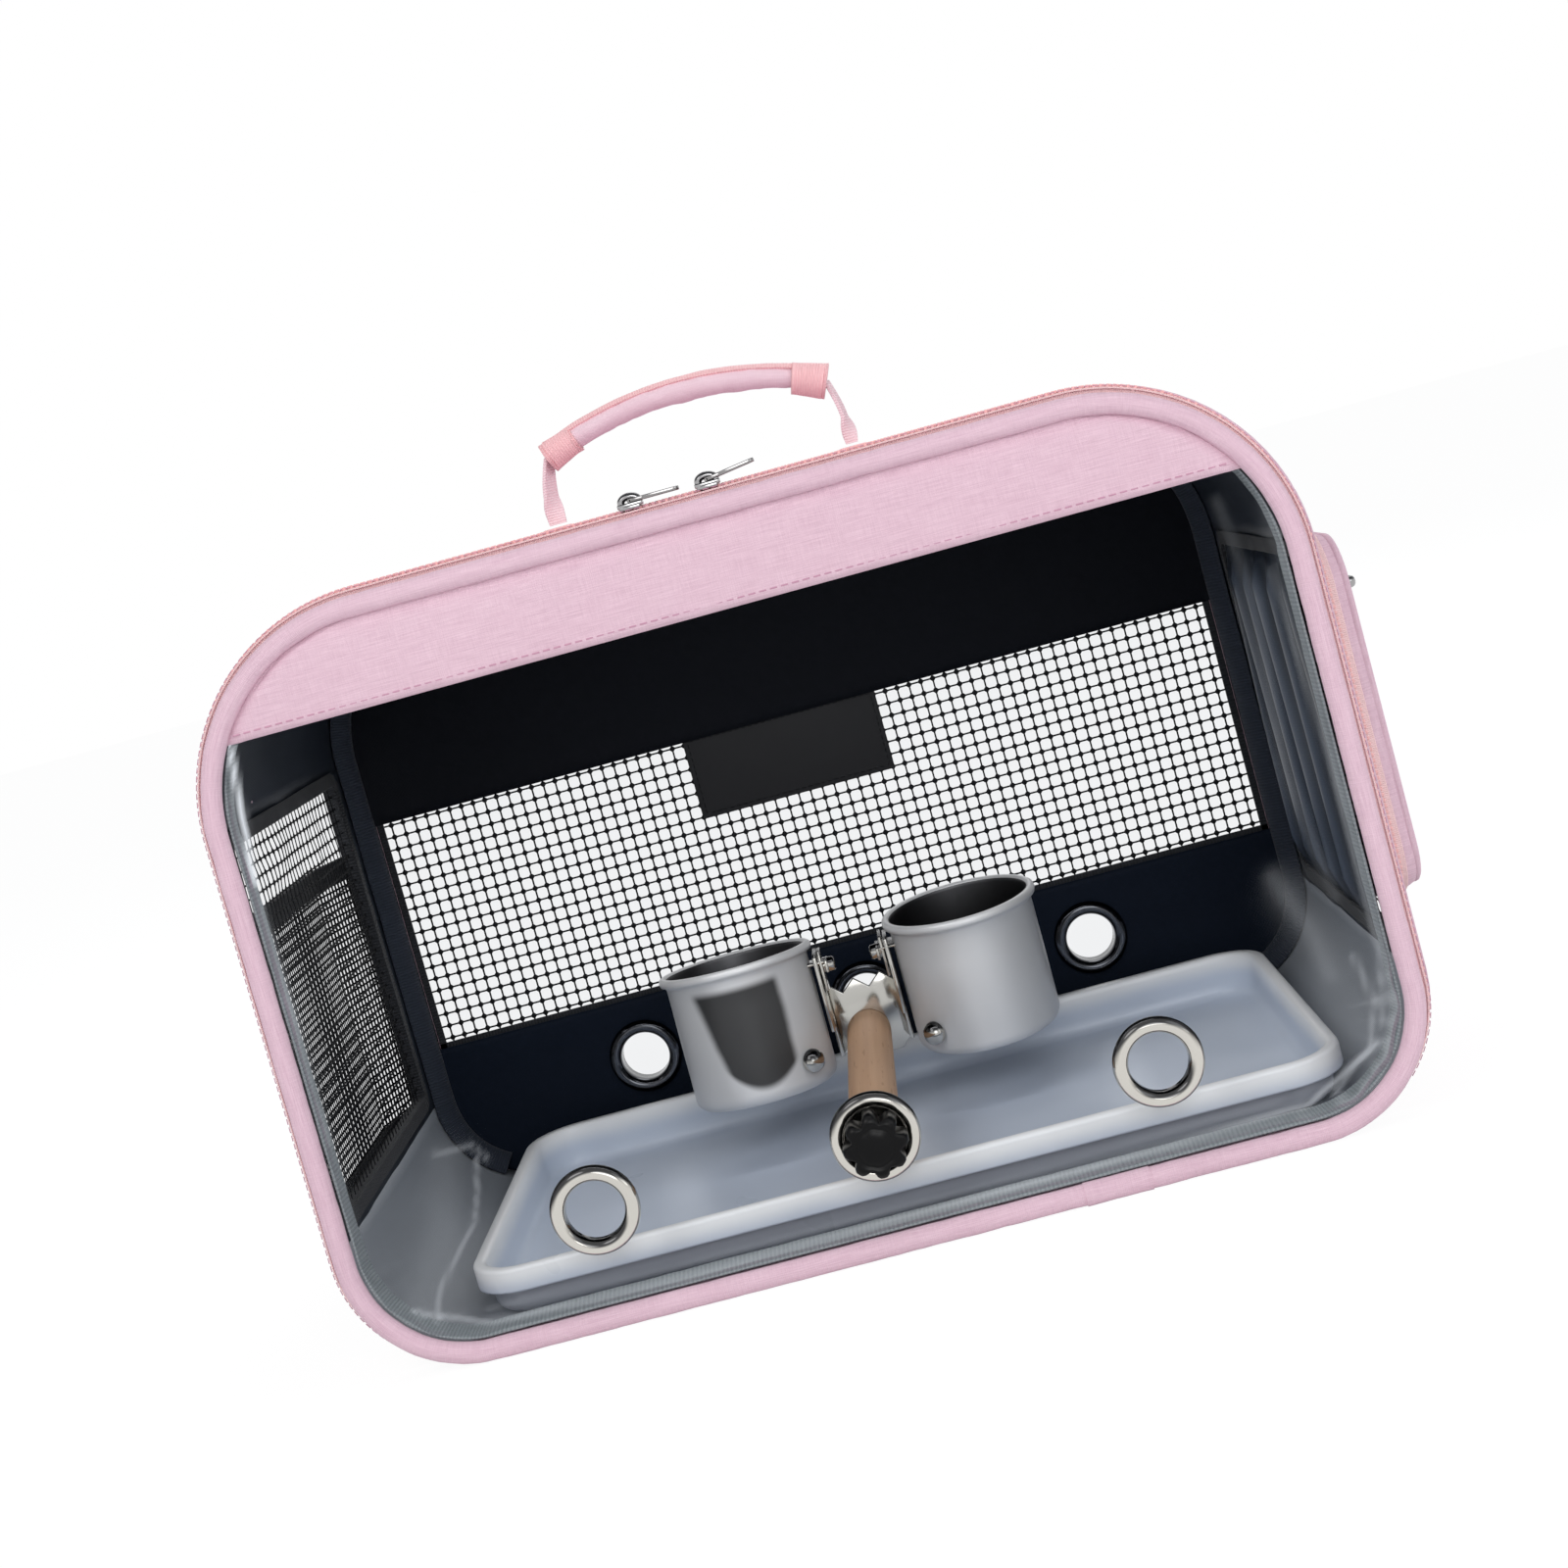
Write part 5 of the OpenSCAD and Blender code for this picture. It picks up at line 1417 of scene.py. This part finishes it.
# ---------------------------------------------------------------- tray
bm = bmesh.new()
profile = [
    (0.1, 16.2), (0, 17.0), (0, 23.6), (0.3, 24.6), (1.1, 25.1), (3.6, 25.1), (4.6, 24.8), (5.2, 24.0),
    (5.6, 22.0), (6.2, 14.0), (6.6, 10.5), (7.4, 8.6), (9.0, 7.4), (11.0, 7.0),
]
path = box_path(331.0, 188.0, 22.0, (5.5, 0, 0), (1, 0, 0), (0, 1, 0), 4.0)
sweep(bm, profile, path, closed=False, loop=True)
rim = sorted(
    {e for e in bm.edges if e.is_boundary and all(abs(v.co.z - 7.0) < 0.01 for v in e.verts)}, key=lambda e: e.index
)
close_over(bm, rim, (5.5, 0, 7.0), [(1 - k / 12, (0, 0, 0)) for k in range(1, 12)])
outward(bm, lambda p: Vector((0, 0, 1)))
flat_map(bm, 0, 1)
settle("tray_moulded", bm, TRAY, "case", ["tray"], closed=False, wall=1.5, sharp=45)


# ---------------------------------------------------------------- sliders and pulls
PIVOT_Z = 3.1


def slider_shape(bm, place):
    """A zip slider's top plate with flared wings and a bridge over the pull's pivot."""
    local = bmesh.new()
    block(local, (9.0, 7.6, 1.7), move(0, 0, 1.65), 0.5, 3)
    for v in local.verts:
        v.co.y *= 1.0 - 0.18 * max(0.0, v.co.x) / 4.5
    for s in (-1, 1):
        block(local, (7.4, 0.9, 1.5), move(-0.2, s * 3.3, 0.75), 0.35, 2)
    sweep(
        local, round_bar(1.35, 12, 1.6, (0, 0)),
        [
            station((3.2 * math.cos(a), 0, 1.8 + 2.9 * math.sin(a) ** 0.6), (0, 1, 0), (math.cos(a), 0, math.sin(a)))
            for a in (math.pi * k / 16 for k in range(17))
        ],
        caps=True,
    )
    repeat(bm, local, [place])


def pull_shape(bm, place, rise):
    """A flat pull: two arms round the bridge, a plate that tapers, and a round end with a hole."""
    local = bmesh.new()
    reach = 4.4
    lathe(local, [(0, -2.8), (0.6, -2.8), (0.7, -2.6), (0.7, 2.6), (0.6, 2.8), (0, 2.8)], turn("X", 90), 14)
    for s in (-1, 1):
        block(local, (reach + 0.8, 1.1, 1.5), move((reach + 0.8) / 2 - 0.2, s * 2.25, 0), 0.35)
    end, r = 15.6, 2.4
    rim = [(end + r * math.cos(a), r * math.sin(a)) for a in (math.radians(-90 + 15 * k) for k in range(13))]
    rim += [
        (reach + 5, 2.75), (reach + 1.2, 2.8), (reach, 2.6), (reach, -2.6), (reach + 1.2, -2.8), (reach + 5, -2.75)
    ]
    bore = [(15.2 + 1.12 * math.cos(a), 1.12 * math.sin(a)) for a in (2 * math.pi * k / 20 for k in range(20))]
    loops = []
    for outline in (rim, bore):
        verts = [local.verts.new((x, y, -0.75)) for x, y in outline]
        loops += [local.edges.new(p) for p in zip(verts, verts[1:] + verts[:1])]
    plate = bmesh.ops.triangle_fill(local, use_beauty=True, use_dissolve=False, edges=loops)["geom"]
    faces = [g for g in plate if isinstance(g, bmesh.types.BMFace)]
    thicken(local, faces, (0, 0, 1.5))
    sides = [
        e
        for e in local.edges if all(
            v.co.x > reach - 0.01 for v in e.verts
        ) and e.is_manifold and e.calc_face_angle(0) > 1.2
    ]
    bmesh.ops.bevel(local, geom=sides, offset=0.25, segments=2, affect="EDGES", profile=0.5, material=-1)
    repeat(bm, local, [place @ move(0, 0, PIVOT_Z) @ turn("Y", -rise)])


ZIP_Y = -102.243
on_pocket = move(223.2, -21.0, 180.0) @ Matrix(((0, 0, 1), (1, 0, 0), (0, 1, 0))).to_4x4()
# a slider's node, its pull's node, the bodies they move as, their place and how far the pull rises
for slider, pull, slider_body, pull_body, place, rise in (
    ("slider_left", "pull_left", "zip_slider_left", "zip_pull_left", move(-24.0, ZIP_Y, ZIP[1]), 0.0),
    ("slider_right", "pull_right", "zip_slider_right", "zip_pull_right", move(4.0, ZIP_Y, ZIP[1]), 8.0),
    ("pocket_slider", "pocket_pull", "pocket_zip_slider", "pocket_zip_pull", on_pocket, 0.0),
):
    bm = bmesh.new()
    slider_shape(bm, place)
    settle(f"{slider}_chrome", bm, SLIDER_CHROME, slider_body, [slider], sharp=50)
    bm = bmesh.new()
    pull_shape(bm, place, rise)
    settle(f"{pull}_chrome", bm, PULL_CHROME, pull_body, [pull], sharp=50)

# ---------------------------------------------------------------- handle
GRIP_X, GRIP_C, GRIP_ARC = -2.7, 172.5, 146.0


def arch(a0, a1, r=GRIP_ARC, steps=40):
    made = []
    for k in range(steps + 1):
        a = math.radians(a0 + (a1 - a0) * k / steps)
        out = Vector((math.sin(a), 0, math.cos(a)))
        p = Vector((GRIP_X, 0, GRIP_C)) + out * r
        made.append(station(p, -out))
    return made


bm = bmesh.new()
bar = arch(-22, 22, GRIP_ARC + 1.2, steps=64)
for k, s in enumerate(bar):
    t = abs(k / 32 - 1)
    bar[k] = s @ Matrix.Diagonal((1 - 0.16 * t ** 2, 1 - 0.05 * t ** 2, 1, 1))
sweep(bm, round_bar(6.5, 22, 0.74), bar, caps=True)
waves(bm, 0.5, 0.09, 15.0)
waves(bm, 0.3, 0.24, 16.0)
grip = settle("handle_grip_padded", bm, GRIP_LINEN, "handle", ["handle_grip"], sharp=80)
hug = [math.radians(-50 + 100 * k / 8) for k in range(9)]
profile = [(-5.5 * math.cos(a), 7.3 * math.sin(a)) for a in hug]
profile += [(-4.5 * math.cos(a), 6.3 * math.sin(a)) for a in hug[::-1]]
swept(
    "handle_webbing_strip", profile, arch(-19.0, 19.0, GRIP_ARC + 1.2, steps=56), WEBBING, "handle", "webbing",
    ["handle_webbing"], wave=(0.25, 0.09, 17.0), caps=True,
)
bm = bmesh.new()
for s in (-1, 1):
    path = []
    for k in range(15):
        t = k / 14
        flare = 1.0 + 0.16 * t ** 2
        path.append(
            arch(s * (17.4 + 5.4 * t), 0, GRIP_ARC + 0.8, steps=1)[0]
            @ Matrix.Diagonal((flare * 0.72, flare * 0.96, 1, 1)) @ turn("Z", 16 * s * t)
        )
    girth = [
        (7.45 * (1 + 0.03 * math.cos(5 * a)) * math.cos(a), 7.45 * (1 + 0.03 * math.cos(5 * a)) * math.sin(a))
        for a in (2 * math.pi * k / 30 for k in range(30))
    ]
    sweep(bm, girth, path)
    # the free end of the webbing, laid over the wrap
    lap = [math.radians(-150 + 130 * k / 10) for k in range(11)]
    over = [(8.25 * math.cos(a), 8.25 * math.sin(a)) for a in lap] + [
        (7.5 * math.cos(a), 7.5 * math.sin(a)) for a in lap[::-1]
    ]
    sweep(bm, over, path[1:13], caps=True)
waves(bm, 0.2, 0.16, 18.0)
settle("handle_wraps_webbing", bm, WEBBING, "handle", ["handle_wraps"], closed=False, wall=0.9)


def leg(bm, s):
    """A webbing leg from the end of the grip down to its hinge line: wide at the foot, folded at the grip."""
    a = math.radians(22.6)
    head = Vector((GRIP_X + s * (GRIP_ARC + 1.0) * math.sin(a), 0, GRIP_C + (GRIP_ARC + 1.0) * math.cos(a)))
    foot = Vector((GRIP_X + s * 60.05, 0, 281.9))
    path = []
    for k in range(25):
        t = k / 24
        p = head.lerp(foot, t)
        p.x += s * math.sin(t * math.pi) * 1.4
        m = station(p, (0, -1, 0), (1, 0, 0))
        turned = (78 - 32 * t if s < 0 else 81 - 6 * t) * unit((0.95 - t) / 0.35)
        path.append(m @ turn("Z", turned) @ Matrix.Diagonal((1, 0.9 - (0.24 if s < 0 else 0.44) * t ** 2, 1, 1)))
    sweep(bm, strip(-0.75, 0.75, -5.2, 5.2, 0.3, 4), path, caps=True)


bm = bmesh.new()
for s in (-1, 1):
    leg(bm, s)
settle("handle_legs_webbing", bm, LEG_WEBBING, "handle", ["handle_legs"])
for s, side in ((-1, "left"), (1, "right")):
    bm = bmesh.new()
    block(bm, (14.0, 18.0, 1.5), move(GRIP_X + s * 60.05, 0, 279.8), 0.45)
    block(bm, (11.0, 5.6, 0.9), move(GRIP_X + s * 60.05, -4.4, 280.35), 0.4)
    flat_map(bm, 1, 0)
    settle(f"handle_tab_{side}_webbing", bm, WEBBING, "case", [f"handle_tab_{side}"])

# ---------------------------------------------------------------- net pocket, left wall
def pocket_reach(y, out):
    """How far the pocket stands from the wall at a depth: out in the middle, nothing at its sewn ends."""
    t = unit((93.0 - abs(y)) / 33.0)
    return out * min(t, 1 - 1.6 * max(0.0, 0.85 - abs(t - 1.0) - 0.7) ** 2)


def pocket_line(z, out, n=72):
    """Stations along the pocket, bent in to the wall at both ends."""
    made = []
    for k in range(n + 1):
        y = -93.0 + 186.0 * k / n
        slope = pocket_reach(y + 0.2, out) - pocket_reach(y - 0.2, out)
        made.append(station((-204.3 - pocket_reach(y, out), y, z), (0.4, slope, 0), (0, 0, 1)))
    return made


bm = bmesh.new()
net(bm, 186.0, 108.0, 2.7, 1.2, move(0, 0, 104.2) @ turn("Z", 90) @ turn("X", 90))
for v in bm.verts:
    v.co.x = -204.4 - pocket_reach(v.co.y, 9.4)
pocket_net = settle(
    "net_pocket_netting", bm, NET, "case",
    ["net_pocket_net", "net_pocket_side_front", "net_pocket_side_rear"], closed=False, wall=0.25, sharp=60,
)
pocket_hem = swept(
    "net_pocket_elastic", strip(0.0, 1.9, -5.0, 5.0, 0.5, 4), pocket_line(163.0, 10.2), TRIM, "case",
    "black_trim", ["net_pocket_hem"], wave=(0.3, 0.22, 19.0), caps=True,
)
bm = bmesh.new()
sweep(bm, strip(-0.3, 0.9, -1.6, 1.6, 0.3, 1), pocket_line(50.8, 9.6), caps=True)
ys = [-93.0 + 186.0 * k / 60 for k in range(61)]
foot = [(-204.2 - pocket_reach(y, 9.6), y) for y in ys] + [(-204.0, y) for y in ys[::-1]]
sweep(bm, foot, [station((0, 0, z), (1, 0, 0)) for z in (49.0, 50.2)], caps=True)
for s in (-1, 1):
    rising = [station((-204.6, s * 92.0, 49.4 + 108.6 * k / 24), (1, 0, 0)) for k in range(25)]
    sweep(bm, strip(-0.7, 0.5, -1.6, 1.6, 0.3, 1), rising, caps=True)
pocket_base = settle("net_pocket_edge_tape", bm, TRIM, "case", ["net_pocket_base"])

# ---------------------------------------------------------------- zipped pocket, right wall
PK_Y, PK_Z, PK_L, PK_H = 18.0, 132.5, 140.0, 141.0
pocket_face = box_path(PK_L, PK_H, 20.0, (204.0, PK_Y, PK_Z), (0, 1, 0), (0, 0, 1), 4.0)
bm = bmesh.new()
profile = [
    (0, 0), (0.1, 3.0), (0.3, 6.0), (0.6, 9.5), (1.0, 12.5), (2.0, 15.0), (4.0, 16.8), (7.5, 17.7), (12.0, 18.0)
]
sweep(bm, profile, pocket_face, closed=False, loop=True)
rim = [e for e in bm.edges if e.is_boundary and all(v.co.x > 215 for v in e.verts)]
close_over(bm, rim, (222.0, PK_Y, PK_Z), [(1 - k / 10, (0, 0, 0)) for k in range(1, 10)])
outward(bm, lambda p: Vector((1, 0, 0)))
flat_map(bm, 1, 2)
waves(bm, 0.45, 0.035, 21.0, where=lambda c: 1.0 if c.x > 214 else 0.3)
pocket = settle("zip_pocket_cloth", bm, LINEN, "case", ["zip_pocket"], closed=False, wall=1.6, sharp=60)
bm = bmesh.new()
sweep(bm, round_bar(1.5, 10, 1.0, (0.9, 1.8)), pocket_face, loop=True)
sweep(bm, round_bar(1.5, 10, 1.0, (3.2, 16.0)), pocket_face, loop=True)
settle("zip_pocket_piping", bm, LINEN, "case")
profile = strip(-0.5, 0.4, 4.6, 11.4, 0.3, 3)
swept("pocket_gusset_tape", profile, pocket_face, ZIP_TAPE, "case", "zip_tape", loop=True)
bm = bmesh.new()
for y in (7.3, 8.7):
    studs(bm, (1.1, 1.3, 1.3), 0.3, [s @ move(-0.8, y, 0.0) for s in spaced(pocket_face, 2.2)])
settle("pocket_gusset_teeth", bm, ZIP_TEETH, "case")


def side_line(x, z, y0, y1, n, out=(1, 0, 0), up=(0, 0, 1)):
    return [station((x, y0 + (y1 - y0) * k / n, z), out, up) for k in range(n + 1)]


swept(
    "pocket_tape_cloth", strip(-1.1, 0.0, -7.0, 7.0, 0.3, 4), side_line(222.3, 180.0, -30, 66, 30), ZIP_TAPE,
    "case", "zip_tape", ["pocket_zip_tape"], caps=True,
)
bm = bmesh.new()
row = side_line(222.1, 180.0, -29, 65, 2)
for y, shift in ((-0.75, 0.0), (0.75, 0.95)):
    studs(bm, (1.5, 1.4, 1.05), 0.25, [s @ move(1.0, y, shift) for s in spaced(row, 1.9)])
settle("pocket_teeth_rows", bm, ZIP_TEETH, "case")

# a loose lining hangs in upright folds inside the window where the pocket is sewn on
bm = bmesh.new()
raised = bm.verts.layers.float.new("fold")
made = bmesh.ops.create_grid(bm, x_segments=110, y_segments=30, size=0.5)["verts"]
for v in made:
    t = v.co.x + 0.5
    y, z = -54.0 + 137.6 * t, 127.5 + v.co.y * 144.4
    y += 3.0 * math.sin(z * 0.05 + 1.0) * (1 - t) * (0.5 - abs(v.co.y)) * 2
    fold = 0.5 + 0.5 * math.sin(y * 0.25 + 0.8 * math.sin(z * 0.021) + 0.9) * (0.75 + 0.25 * math.sin(y * 0.11))
    tight = min(1.0, 0.25 + t * 4, (1 - t) * 12) * min(1.0, 0.15 + (72.2 - abs(z - 127.5)) / 16.0)
    # fold feeds the lining's painted shade between its folds
    v[raised] = fold * tight
    v.co = Vector((200.6 - 6.0 * fold * tight, y, z))
flat_map(bm, 1, 2)
outward(bm, lambda p: Vector((-1, 0, 0)))
pocket_lining = settle("zip_pocket_lining", bm, POCKET_LINING, "case", closed=False, wall=0.4)
